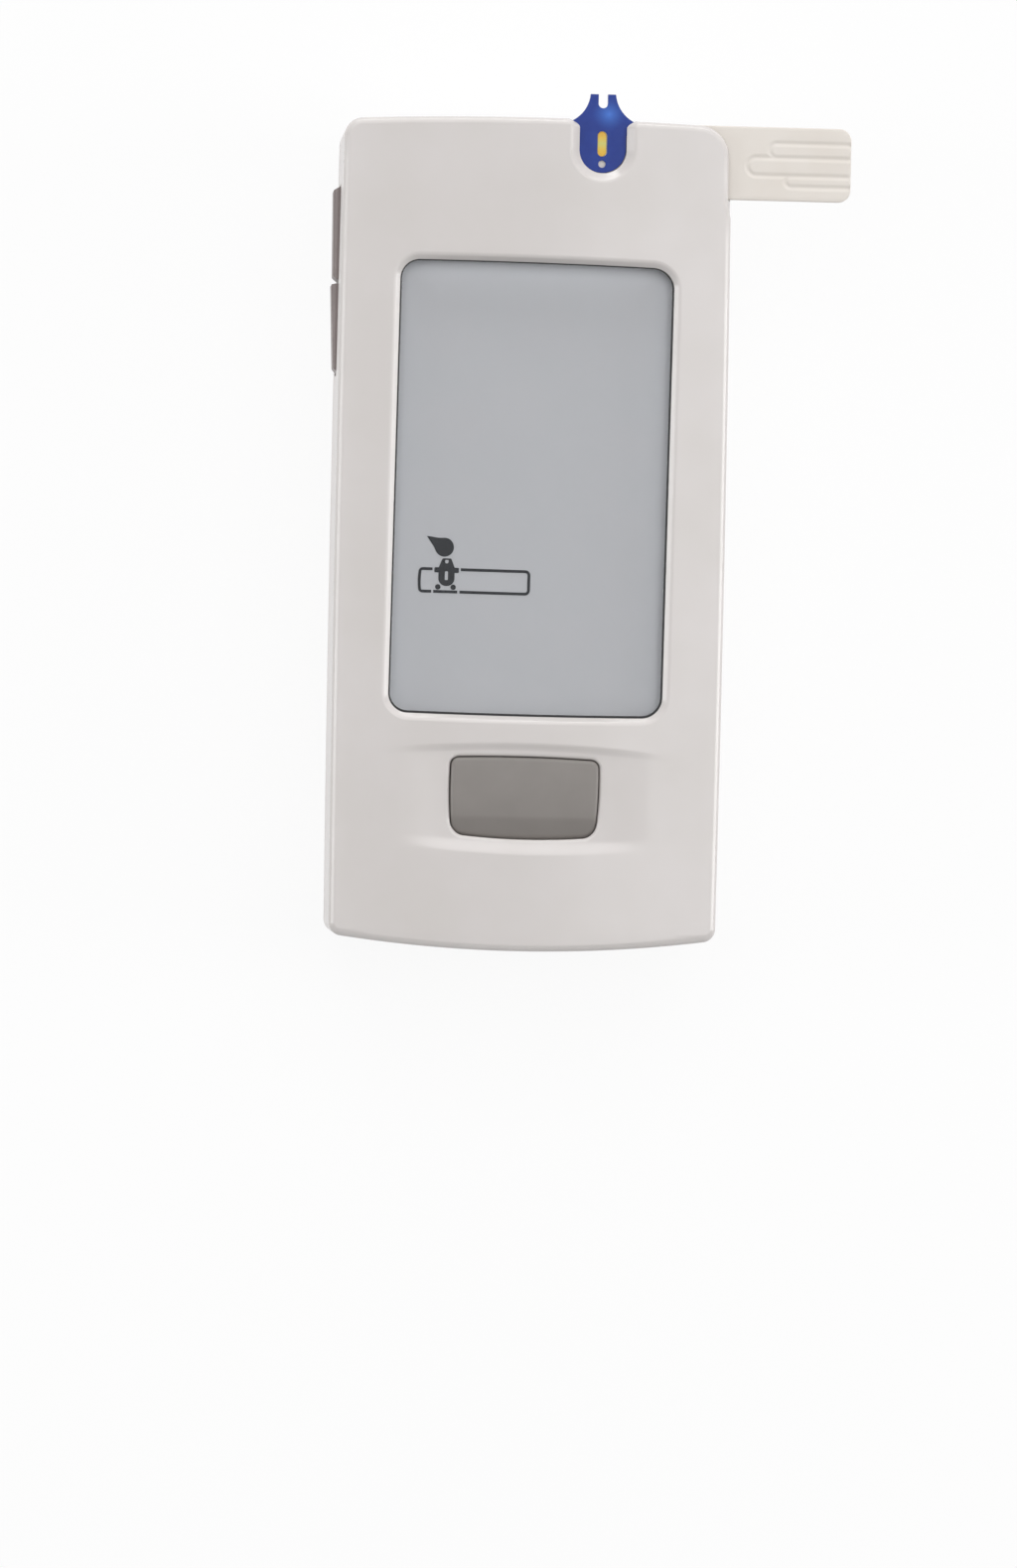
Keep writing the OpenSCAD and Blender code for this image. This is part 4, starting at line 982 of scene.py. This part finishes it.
    def front_ring(self, mesh: BMesh, depth: float, inset: float) -> list[BMVert]:
        """Adds a ring of the rounded front edge, drawn in over the strip slot.

        Args:
            mesh: The mesh that takes the ring.
            depth: How far the ring lies below the crown.
            inset: How far it lies inside the outline.

        Returns:
            The ring's vertices.
        """
        ring = self.outline.ring(mesh, 0.0, -inset)
        for vert, target in zip(ring, self.lip_outline.places(-inset)):
            if vert.co.x > self.slot_low[0]:
                share = smooth_step(self.lip_start, self.lip_end, vert.co.y)
                vert.co = vert.co.lerp(target, share)
            vert.co.z = self.crown(vert.co.x) - depth
        return ring

    def front_block(self, mesh: BMesh) -> None:
        """Draws the outside of the front cover as one block."""
        low = self.seam + self.reveal
        rings = [
            self.outline.ring(mesh, low + depth, -inset)
            for depth, inset in rounding(self.seam_edge, QUARTER_TURN, 0, 4)
        ]
        rings.append(self.outline.ring(mesh, self.slot_low[2] + self.lip_over))
        for depth, inset in rounding(self.front_round, 0, math.radians(self.front_turn), 9):
            rings.append(self.front_ring(mesh, depth, inset))
        cup(mesh, rings)
        self.face_grid(mesh, rings[-1])

    def face_grid(self, mesh: BMesh, ring: list[BMVert]) -> None:
        """Closes the front with the crowned and scooped face, cut finely along the scoop."""
        outer = (17.2, 18.2, 19.2, 20.3)
        columns = sorted([*steps(-14.4, 14.4, 36), *(s * x for s in (-1, 1) for x in outer)])
        rows = [self.scoop_y, -45.2, -43.0, -41.0, -17.5, *steps(-14.0, 24.0, 12)]
        rows += [27.5, 34.5, 37.0, 39.4]
        for side, reach, wall in zip((-1, 1), self.scoop_reach, self.scoop_wall):
            walls = [reach - wall * t for t in steps(-0.1, 1.1, 14)]
            rows += [self.scoop_y + side * r for r in (*walls, 7.8, 8.6, 9.6, 2.4, 3.6, 4.5)]
        relief_cap(mesh, ring, columns, sorted(rows), self.face, self.bend)

    def flared_cutter(
        self, plan: Outline, rim: tuple[float, float, float], low: float, base: Surface
    ) -> Draw:
        """Returns a cutter whose opening leans outwards and rounds over into a surface.

        Args:
            plan: The outline of the opening.
            rim: The rim's width, the height of its foot, and the angle of its leaning wall.
            low: The height of the cutter's foot.
            base: The surface, as a function of x and y.

        Returns:
            The function that draws it.
        """
        width, foot, lean = rim[0], rim[1], math.radians(rim[2])
        tall = base(*plan.middle) - foot
        bulge = math.sin(lean) * math.tan(lean) - 1 + math.cos(lean)
        radius = (width * math.tan(lean) - tall) / bulge

        def height(share: float) -> Surface:
            """Returns the rim's surface at a share of the way down from the base to the foot."""
            return lambda x, y: base(x, y) - share * (base(x, y) - foot)

        def draw(mesh: BMesh) -> None:
            """Draws the straight foot, the leaning and rounded rim, and the part above it."""
            rings = [plan.ring(mesh, low), plan.ring(mesh, foot)]
            for a in steps(lean, math.radians(self.rim_end), 10):
                share = radius * (1 - math.cos(a)) / tall
                rings.append(plan.ring(mesh, height(share), width - radius * math.sin(a)))
            up, out = self.rim_skirt
            rings.append(plan.ring(mesh, lambda x, y: base(x, y) + up, width + out))
            rings.append(plan.ring(mesh, self.thickness + 2 * TOOL_REACH, width + out))
            loft(mesh, rings)

        return draw

    def hollows(self) -> list[Draw]:
        """Returns the space inside the front cover, and the step for the back cover's lip."""
        low, lip_top = self.seam - TOOL_REACH, self.seam + self.lip + self.reveal
        return [
            lambda m: self.outline.prism(m, low, self.ceiling, -self.wall),
            lambda m: self.outline.prism(m, low, lip_top, -self.wall / 2),
        ]

    def bosses(self) -> list[Draw]:
        """Returns the screw posts and the slot's shelf, as solids to add."""
        places = [(x, y, *self.screw_post) for x, y in self.screws]
        places += [(s * x, y, *self.board_post) for x, y in self.board_post_at for s in (-1, 1)]
        tall = self.ceiling
        posts = [
            lambda m, p=p: rod(m, p[:3], p[3], tall - p[2] + self.post_sunk) for p in places
        ]
        return posts + [lambda m, s=s: block(m, *s) for s in self.shelves]

    def openings(self) -> list[Draw]:
        """Returns the cutters of the openings."""
        deep = self.ceiling - TOOL_REACH
        slot_high = (30.0, 60.0, self.ceiling + self.slot_lift)
        foot, radius, length = self.screw_hole
        return [
            self.flared_cutter(self.window, self.window_rim, deep, self.crown),
            self.flared_cutter(self.button_hole, self.button_rim, deep, self.face),
            self.flared_cutter(self.notch, self.notch_rim, self.slot_low[2], self.crown),
            lambda m: block(m, self.slot_low, slot_high),
            *(lambda m, k=k: block(m, *k) for k in self.key_openings),
            *(lambda m, s=s: rod(m, (*s, foot), radius, length, 24) for s in self.screws),
        ]

    def build(self) -> None:
        """Builds the three shells."""
        front = solid("front_shell", self.front_block)
        combine(front, Cut.REMOVE, *self.hollows())
        combine(front, Cut.ADD, *self.bosses())
        combine(front, Cut.REMOVE, *self.openings())
        place_piece(front, HOUSING, "housing", "front_cover")
        place_piece(cad_copy("back_cover", "back_shell"), HOUSING, "housing", "back_cover")
        door = cad_copy("battery_door", "door_shell")
        place_piece(door, HOUSING, "battery_door", "battery_door")


# Display --------------------------------------------------------------------


@dataclass
class Display:
    """Clear insert, the dark bead round it as painted shade, and the symbol that the display shows.

    Boxes list left, right, low and high. Those of the head and its dots start from head_at.
    """

    housing: Housing
    gap: float = 0.22
    offset: tuple[float, float] = (-0.03, 0.06)
    top: float = 22.1
    flange: Corners = ((-17.2, -22.15, 20.7), (17.2, 32.45, 21.4))
    sunk: float = 0.1
    edge: float = 0.07
    bead_foot: float = 0.02
    bead_top: float = 22.04
    bead_lap: float = 0.01
    ink_low: float = 20.655
    ink_high: float = 20.685
    ink_over: float = 0.01
    line: float = 0.33
    strip_box: Box = (-12.56, 0.14, -6.88, -3.99)
    lower_breaks: tuple[tuple[float, float], ...] = ((-11.14, -10.9), (-8.16, -7.91))
    upper_break: tuple[float, float] = (-11.05, -7.83)
    end_bow: float = 0.14
    end_reach: float = 0.8
    head_at: tuple[float, float] = (-9.44, -4.25)
    head_crown: Box = (-0.76, 0.76, 0.0, 1.34)
    head_ears: Box = (-1.4, 1.4, -0.3, 0.3)
    head_body: Box = (-0.92, 0.92, -1.82, 0.0)
    head_slot: Box = (-0.19, 0.17, -1.14, -0.14)
    head_nick: Box = (-0.19, 0.19, 0.76, 1.16)
    dots: tuple[tuple[str, float], ...] = (("left", -0.95), ("right", 0.8))
    dot_drop: float = 1.94
    dot_radius: float = 0.31
    drop_at: tuple[float, float] = (-9.76, -1.65)
    drop_round: float = 1.08
    drop_tip: float = 2.38
    drop_neck: float = 80.0
    drop_turn: float = 149.0
    symbol_centre: tuple[float, float] = (-6.2, -5.4)

    @property
    def insert_plan(self) -> Outline:
        """The window's outline where the insert sits, a little high and to the left."""
        plan, (dx, dy) = self.housing.window, self.offset
        left, right, low, high = plan.left + dx, plan.right + dx, plan.low + dy, plan.high + dy
        return replace(plan, left=left, right=right, low=low, high=high)

    def draw_insert(self, mesh: BMesh) -> None:
        """Draws the insert's raised part, with a rounded upper edge."""
        plan = self.insert_plan
        rings = [plan.ring(mesh, self.flange[1][2] - self.sunk, -self.gap)]
        for depth, inset in rounding(self.edge, 0, QUARTER_TURN, 4):
            rings.append(plan.ring(mesh, self.top - depth, -self.gap - inset))
        loft(mesh, rings)

    def insert(self) -> None:
        """Builds the clear insert."""
        piece = solid("clear_insert", self.draw_insert)
        combine(piece, Cut.ADD, lambda m: block(m, *self.flange))
        place_piece(piece, CLEAR, "housing", "display_window")

    def bead(self) -> None:
        """Builds the dark bead that fills the gap round the insert, as painted shade of the gap."""
        low, high, lap = self.flange[1][2] + self.bead_foot, self.bead_top, self.bead_lap
        ends = low - TOOL_REACH, high + TOOL_REACH
        # painted shade: a dark bead that makes the gap round the insert show dark
        piece = solid("window_bead", lambda m: self.housing.window.prism(m, low, high, -lap))
        combine(piece, Cut.REMOVE, lambda m: self.insert_plan.prism(m, *ends, lap - self.gap))
        place_piece(piece, ADHESIVE_AND_GAP_SHADE, "housing")

    def ink(self, name: str, first: Draw, *more: tuple[Cut, Draw]) -> None:
        """Builds one dark segment of the display out of solids."""
        piece = solid(name, first)
        for cut, fill in more:
            combine(piece, cut, fill)
        centre = Vector((*self.symbol_centre, 0.0))
        turn = Matrix.Rotation(math.radians(FACE_TURN), 4, "Z")
        piece.data.transform(Matrix.Translation(centre) @ turn @ Matrix.Translation(-centre))
        place_piece(piece, INK, "housing")

    def draw_strip(self, mesh: BMesh, grow: float, over: float) -> None:
        """Draws the strip's outline as a solid whose left end is bowed outwards.

        Args:
            mesh: The mesh that takes it.
            grow: How far it is grown outwards.
            over: How far it runs past the ink's layer.
        """
        x0, x1, y0, y1 = self.strip_box
        plan = Outline(x0, x1, y0, y1, (0.4, 0.6, 0.6, 0.4), corner_steps=8, side_steps=16)
        rings = [plan.ring(mesh, z, grow) for z in (self.ink_low - over, self.ink_high + over)]
        for vert in rings[0] + rings[1]:
            if vert.co.x < x0 + self.end_reach:
                along = (2 * vert.co.y - y0 - y1) / (y1 - y0)
                vert.co.x -= self.end_bow * (1 - along**2)
        loft(mesh, rings)

    def strip_symbol(self) -> None:
        """Builds the outline of the strip, which is broken on both sides of the head."""
        y0, y1 = self.strip_box[2:]
        breaks = [(*x, y0) for x in self.lower_breaks] + [(*self.upper_break, y1)]
        low, high = self.ink_low - self.ink_over, self.ink_high + self.ink_over
        boxes = [
            ((x0, y - TOOL_REACH, low), (x1, y + TOOL_REACH, high)) for x0, x1, y in breaks
        ]
        self.ink(
            "symbol_strip",
            lambda m: self.draw_strip(m, 0.0, 0.0),
            (Cut.REMOVE, lambda m: self.draw_strip(m, -self.line, TOOL_REACH)),
            *((Cut.REMOVE, lambda m, b=b: block(m, *b)) for b in boxes),
        )

    def head_part(
        self, box: Box, radii: Box, corner_steps: int, over: float, taper: float = 0.0
    ) -> Draw:
        """Returns the drawing of a part of the head's symbol.

        Args:
            box: The part's box, from head_at.
            radii: The radii of its corners.
            corner_steps: The number of steps of a corner.
            over: How far it runs past the ink's layer.
            taper: How far its sides lean out towards its upper end.
        """
        x, y = self.head_at
        plan = Outline(
            x + box[0], x + box[1], y + box[2], y + box[3], radii, taper=taper,
            corner_steps=corner_steps, side_steps=2,
        )
        return lambda m: plan.prism(m, self.ink_low - over, self.ink_high + over)

    def head_symbol(self) -> None:
        """Builds the head with its ears, notch and slot, and the two dots below it."""
        ears = self.head_part(self.head_ears, (0.12,) * 4, 5, 0.0)
        body = self.head_part(self.head_body, (0.88, 0.88, 0.1, 0.1), 14, 0.0)
        slot = self.head_part(self.head_slot, (0.1,) * 4, 4, TOOL_REACH)
        nick = self.head_part(self.head_nick, (0.16, 0.16, 0.05, 0.05), 4, TOOL_REACH)
        self.ink(
            "symbol_head",
            self.head_part(self.head_crown, (0.03, 0.03, 0.14, 0.14), 6, 0.0, -0.27),
            (Cut.ADD, ears),
            (Cut.ADD, body),
            (Cut.REMOVE, slot),
            (Cut.REMOVE, nick),
        )
        (x, y), thick = self.head_at, self.ink_high - self.ink_low
        for side, offset in self.dots:
            foot = (x + offset, y - self.dot_drop, self.ink_low)
            self.ink("symbol_dot_" + side, lambda m: rod(m, foot, self.dot_radius, thick, 32))

    def draw_drop(self, mesh: BMesh) -> None:
        """Draws a round drop whose neck narrows hollowly to its tip."""
        rings = []
        for height in (self.ink_low, self.ink_high):
            ring = bmesh.ops.create_circle(mesh, cap_ends=False, radius=1.0, segments=96)["verts"]
            for vert in ring:
                angle = abs(math.degrees(math.atan2(vert.co.y, vert.co.x)))
                neck = max(0.0, 1.0 - angle / self.drop_neck) ** 5
                reach = self.drop_round + (self.drop_tip - self.drop_round) * neck
                vert.co = (Matrix.Rotation(math.radians(self.drop_turn), 3, "Z") @ vert.co) * reach
                vert.co += Vector((*self.drop_at, height))
            rings.append(ring)
        loft(mesh, rings)

    def build(self) -> None:
        """Builds the display's visible pieces."""
        self.insert()
        self.bead()
        self.strip_symbol()
        self.head_symbol()
        self.ink("symbol_drop", self.draw_drop)


# Controls -------------------------------------------------------------------


@dataclass
class Controls:
    """Main button and the two side keys.

    The post lists its foot's centre, its radius and its length. The trim is the box that is cut off
    the keys' posts, where the board passes over them.
    """

    housing: Housing
    gap: float = 0.11
    drop: float = 0.07
    face: float = 22.9
    foot: float = 20.9
    edge: float = 0.35
    crown_radius: float = 42.0
    crown_y: float = -28.9
    bend_y: float = -32.0
    bend_end: float = -32.7
    bend_slope: float = 0.34
    flange: tuple[float, float, float] = (20.6, 21.4, 0.8)
    post: tuple[tuple[float, float, float], float, float] = ((0.0, -29.9, 18.05), 2.4, 2.6)
    key_edge: float = 0.1
    key_trim: Corners = ((-19.75, 16.0, 14.15), (-18.0, 42.0, 15.0))

    def button_face(self, _x: float, y: float) -> float:
        """Returns the height of the button's face, which falls away towards its lower end."""
        radius = self.crown_radius
        height = self.face - radius + math.sqrt(radius * radius - (y - self.crown_y) ** 2)
        below = self.bend_y - y
        if below <= 0:
            return height
        turn = self.bend_y - self.bend_end
        fall = below**2 / (2 * turn) if below < turn else below - turn / 2
        return height - self.bend_slope * fall

    def draw_button(self, mesh: BMesh) -> None:
        """Draws the button's cap, which sits a little low in its hole."""
        hole = self.housing.button_hole
        plan = replace(hole, low=hole.low - self.drop)
        rings = [plan.ring(mesh, self.foot, -self.gap)]
        for depth, inset in rounding(self.edge, 0, QUARTER_TURN, 6):
            rings.append(
                plan.ring(mesh, lambda x, y: self.button_face(x, y) - depth, -self.gap - inset)
            )
        cup(mesh, rings)
        rows = [*steps(-31.6, -26.0, 10), *steps(-33.8, -31.8, 20)]
        relief_cap(mesh, rings[-1], steps(-7.2, 7.2, 12), rows, self.button_face)

    def main_button(self) -> None:
        """Builds the main button with its flange and post."""
        piece = solid("button_cap", self.draw_button)
        hole = self.housing.button_hole
        combine(piece, Cut.ADD, lambda m: hole.prism(m, *self.flange))
        combine(piece, Cut.ADD, lambda m: rod(m, *self.post))
        place_piece(piece, BUTTON, "main_button", "main_button")

    def side_key(self, node: str) -> None:
        """Builds a side key with rounded edges."""
        piece = cad_copy(node, node + "_cap")
        join_flat(piece)
        soften(piece, self.key_edge)
        combine(piece, Cut.REMOVE, lambda m: block(m, *self.key_trim))
        place_piece(piece, KEY, node, node)

    def build(self) -> None:
        """Builds the caps."""
        self.main_button()
        for node in ("up_key", "down_key"):
            self.side_key(node)


# Test strip -----------------------------------------------------------------


@dataclass
class TestStrip:
    """Carrier with its grip grooves, and the blue sampling head.

    A finger lists where it starts along X and its two sides along Y. The flank is the round cutter
    beside the tip, listed as its distance from the head's middle, its distance beyond the
    carrier's edge and its radius. The heel is the radius of the one between ear and body.
    """

    left: float = -1.6
    right: float = 35.899
    low: float = 38.8
    high: float = 47.2
    bottom: float = 20.45
    top: float = 21.15
    edge: float = 0.12
    line_depth: float = 0.11
    line_half: float = 0.42
    fingers: tuple[tuple[float, float, float], ...] = (
        (26.55, 43.7, 45.35), (24.0, 41.65, 43.7), (28.4, 40.4, 41.65),
    )
    head_x: float = 7.33
    head_top: float = 21.4
    head_half: float = 2.69
    head_low: float = 44.15
    head_edge: float = 0.06
    body_end: float = -1.0
    ear_half: float = 4.0
    ear_start: float = -1.7
    tip: float = 50.399
    flank: tuple[float, float, float] = (5.25, 3.55, 3.83)
    heel: float = 1.2
    nick_half: float = 0.54
    nick_depth: float = 1.04
    sight: tuple[Box, float] = ((-0.57, 0.54, 43.3, 46.2), 0.54)
    hole: tuple[float, float, float] = (-0.02, 42.45, 0.42)
    front_gap: float = 0.001
    front_lap: float = 0.05
    through: tuple[float, float] = (20.0, 22.0)

    def line_distance(self, x: float, y: float) -> float:
        """Returns how far a point lies from the nearest outline of a grip finger."""
        distances = []
        for start, low, high in self.fingers:
            half = (high - low) / 2
            across = y - (low + half)
            straight = x > start + half
            reach = abs(across) if straight else math.hypot(x - start - half, across)
            distances.append(abs(reach - half))
        return min(distances)

    def face(self, x: float, y: float) -> float:
        """Returns the height of the carrier's upper face."""
        near = 1.0 - smooth_step(0.0, self.line_half, self.line_distance(x, y))
        return self.top - self.line_depth * near

    def draw_carrier(self, mesh: BMesh) -> None:
        """Draws the carrier with rounded edges."""
        plan = Outline(
            self.left, self.right, self.low, self.high, (0.6, 1.4, 1.4, 0.6), corner_steps=10,
            side_steps=8,
        )
        rings = []
        for depth, inset in rounding(self.edge, QUARTER_TURN, 0, 3):
            rings.append(plan.ring(mesh, self.bottom + depth, -inset))
        for depth, inset in rounding(self.edge, 0, QUARTER_TURN, 3):
            rings.append(plan.ring(mesh, lambda x, y: self.face(x, y) - depth, -inset))
        cup(mesh, rings)
        columns = [*steps(0, 23, 8), *steps(23.4, 29.8, 64), *steps(30.4, 35.5, 8)]
        rows = [39.3, *steps(39.9, 45.8, 66), 46.3, 46.8]
        relief_cap(mesh, rings[-1], columns, rows, self.face)

    def head(self) -> None:
        """Builds the blue head: a rounded body with ears, and a tip between hollow flanks."""
        x, edge, low, high = self.head_x, self.high, self.top, self.head_top
        half, reach, tip, (under, over) = self.head_half, self.ear_half, self.tip, self.through

        def bore(across: float, y: float, radius: float, segments: int = 48) -> Draw:
            """Returns the drawing of an upright bore at a distance from the head's middle."""
            return lambda m: rod(m, (x + across, y, under), radius, over - under, segments)

        ears = (x - reach, edge + self.ear_start, low), (x + reach, tip, high)
        body = (x - half, self.head_low, low), (x + half, edge + self.body_end, high)
        front_foot = (x - reach, edge + self.front_gap, self.bottom)
        front = front_foot, (x + reach, tip, low + self.front_lap)
        piece = solid("sampling_head", lambda m: block(m, *ears))
        combine(
            piece,
            Cut.ADD,
            lambda m: block(m, *body),
            lambda m: rod(m, (x, self.head_low, low), half, high - low, 96),
            lambda m: block(m, *front),
        )
        heel = (half + self.heel, self.ear_start, self.heel)
        for side in (-1, 1):
            for (across, beyond, radius), segments in ((self.flank, 160), (heel, 64)):
                combine(piece, Cut.REMOVE, bore(side * across, edge + beyond, radius, segments))
        (x0, x1, y0, y1), turn = self.sight
        sight = Outline(x + x0, x + x1, y0, y1, (turn,) * 4, corner_steps=10, side_steps=2)
        nick, foot = self.nick_half, tip - self.nick_depth
        combine(
            piece,
            Cut.REMOVE,
            lambda m: block(m, (x - nick, foot, under), (x + nick, tip + TOOL_REACH, over)),
            bore(0.0, foot, nick),
            bore(*self.hole),
            lambda m: sight.prism(m, under, over),
        )
        soften(piece, self.head_edge, angle=35.0)
        place_piece(piece, HEAD, "test_strip", "strip_head")

    def build(self) -> None:
        """Builds the strip's visible pieces."""
        carrier = solid("carrier_body", self.draw_carrier)
        place_piece(carrier, STRIP, "test_strip", "strip_carrier")
        self.head()


# Studio ---------------------------------------------------------------------


@dataclass(frozen=True)
class Lamp:
    """Soft rectangular lamp, with its place and size in metres and its power in watts."""

    name: str
    place: tuple[float, float, float]
    size: tuple[float, float]
    power: float

    def hang(self) -> None:
        """Adds the lamp, which faces the meter."""
        data = bpy.data.lights.new(self.name, "AREA")
        data.shape = "RECTANGLE"
        data.size, data.size_y = self.size
        data.energy = self.power
        way = Vector(LAMP_AIM) - Vector(self.place)
        turn = way.to_track_quat("-Z", "Y").to_matrix().to_4x4()
        link(self.name, data).matrix_world = Matrix.Translation(self.place) @ turn


@dataclass
class Studio:
    """Camera, lamps, world and floor.

    The camera looks down on the meter. The focal length and the target are in pixels of the image,
    and the target is where the middle of the back would show if it lay at the height target_z.
    """

    image: tuple[int, int] = (1024, 1579)
    focal: float = 7076.0
    distance: float = 800.0
    yaw: float = 3.7
    pitch: float = 0.3
    roll: float = -1.2
    target: tuple[float, float] = (534.5, 538.3)
    target_z: float = 22.5
    sensor: float = 36.0
    clip: tuple[float, float] = (0.01, 20.0)
    world_level: float = 0.26
    floor_white: float = 0.9
    floor_grey: float = 0.93
    floor_half: float = 3.0
    floor_drop: float = 0.00005
    lamps: tuple[Lamp, ...] = (
        Lamp("key", (0.05, 0.45, 0.85), (1.0, 0.6), 3.25),
        Lamp("side_left", (-0.45, 0.0, 0.8), (0.3, 0.8), 0.62),
        Lamp("side_right", (0.45, 0.0, 0.8), (0.3, 0.8), 1.15),
        Lamp("low_top", (0.0, 0.92, 0.2), (0.9, 0.25), 3.5),
        Lamp("low_bottom", (0.1, -0.92, 0.2), (0.9, 0.25), 0.3),
        Lamp("low_left", (-0.92, 0.0, 0.2), (0.25, 0.9), 3.1),
        Lamp("low_right", (0.92, 0.0, 0.2), (0.25, 0.9), 4.2),
    )

    def camera(self) -> None:
        """Places the camera."""
        turn = Matrix.Identity(3)
        for angle, axis in ((self.roll, "Z"), (self.pitch, "X"), (self.yaw, "Y")):
            turn = turn @ Matrix.Rotation(math.radians(angle), 3, axis)
        scale = self.distance / self.focal
        across = (self.target[0] - self.image[0] / 2) * scale
        up = -(self.target[1] - self.image[1] / 2) * scale
        offset = Vector((across, up, -self.distance))
        offset -= turn @ Vector((0.0, 0.0, self.target_z))
        back = turn.transposed()
        data = bpy.data.cameras.new("camera")
        data.sensor_fit = "VERTICAL"
        data.sensor_height = self.sensor
        data.lens = self.focal / self.image[1] * self.sensor
        data.clip_start, data.clip_end = self.clip
        camera = link("camera", data)
        camera.matrix_world = Matrix.Translation(back @ (-offset) * MM) @ back.to_4x4()
        bpy.context.scene.camera = camera

    def world(self) -> None:
        """Lights the scene evenly, and shows white behind it."""
        world = bpy.data.worlds.new("studio")
        tree = Tree(world, "OutputWorld")
        plain, white = tree.add("Background"), tree.add("Background")
        for shown in (plain, white):
            shown.inputs["Color"].default_value = (1, 1, 1, 1)
        plain.inputs["Strength"].default_value = self.world_level
        tree.show(tree.seen(), plain, white)
        bpy.context.scene.world = world

    def floor(self) -> None:
        """Lays the pale floor."""
        mesh = bmesh.new()
        bmesh.ops.create_grid(mesh, x_segments=1, y_segments=1, size=self.floor_half)
        floor = to_object(mesh, "floor")
        floor.location = (0, 0, -self.floor_drop)
        material = bpy.data.materials.new("floor")
        tree = Tree(material, "OutputMaterial")
        plain, white = tree.add("BsdfDiffuse"), tree.add("Emission")
        plain.inputs["Color"].default_value = (*(self.floor_grey,) * 3, 1)
        white.inputs["Strength"].default_value = 1.0
        tree.show(tree.maths("MULTIPLY", tree.seen(), self.floor_white), plain, white)
        floor.data.materials.append(material)

    def build(self) -> None:
        """Sets up the studio."""
        self.camera()
        for lamp in self.lamps:
            lamp.hang()
        self.world()
        self.floor()
        bpy.context.scene.view_settings.view_transform = "Standard"


def dress_nodes(nodes: dict[str, Object]) -> None:
    """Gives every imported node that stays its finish."""
    for finish, names in NODE_FINISHES.items():
        for name in names.split():
            dress(nodes[name], finish)


def main() -> None:
    """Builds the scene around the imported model."""
    logging.basicConfig(level=logging.INFO, format="%(name)s: %(message)s")
    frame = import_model()
    Studio().build()
    housing = Housing()
    housing.build()
    Display(housing).build()
    Controls(housing).build()
    TestStrip().build()
    dress_nodes(frame["nodes"])


if __name__ == "__main__":
    main()
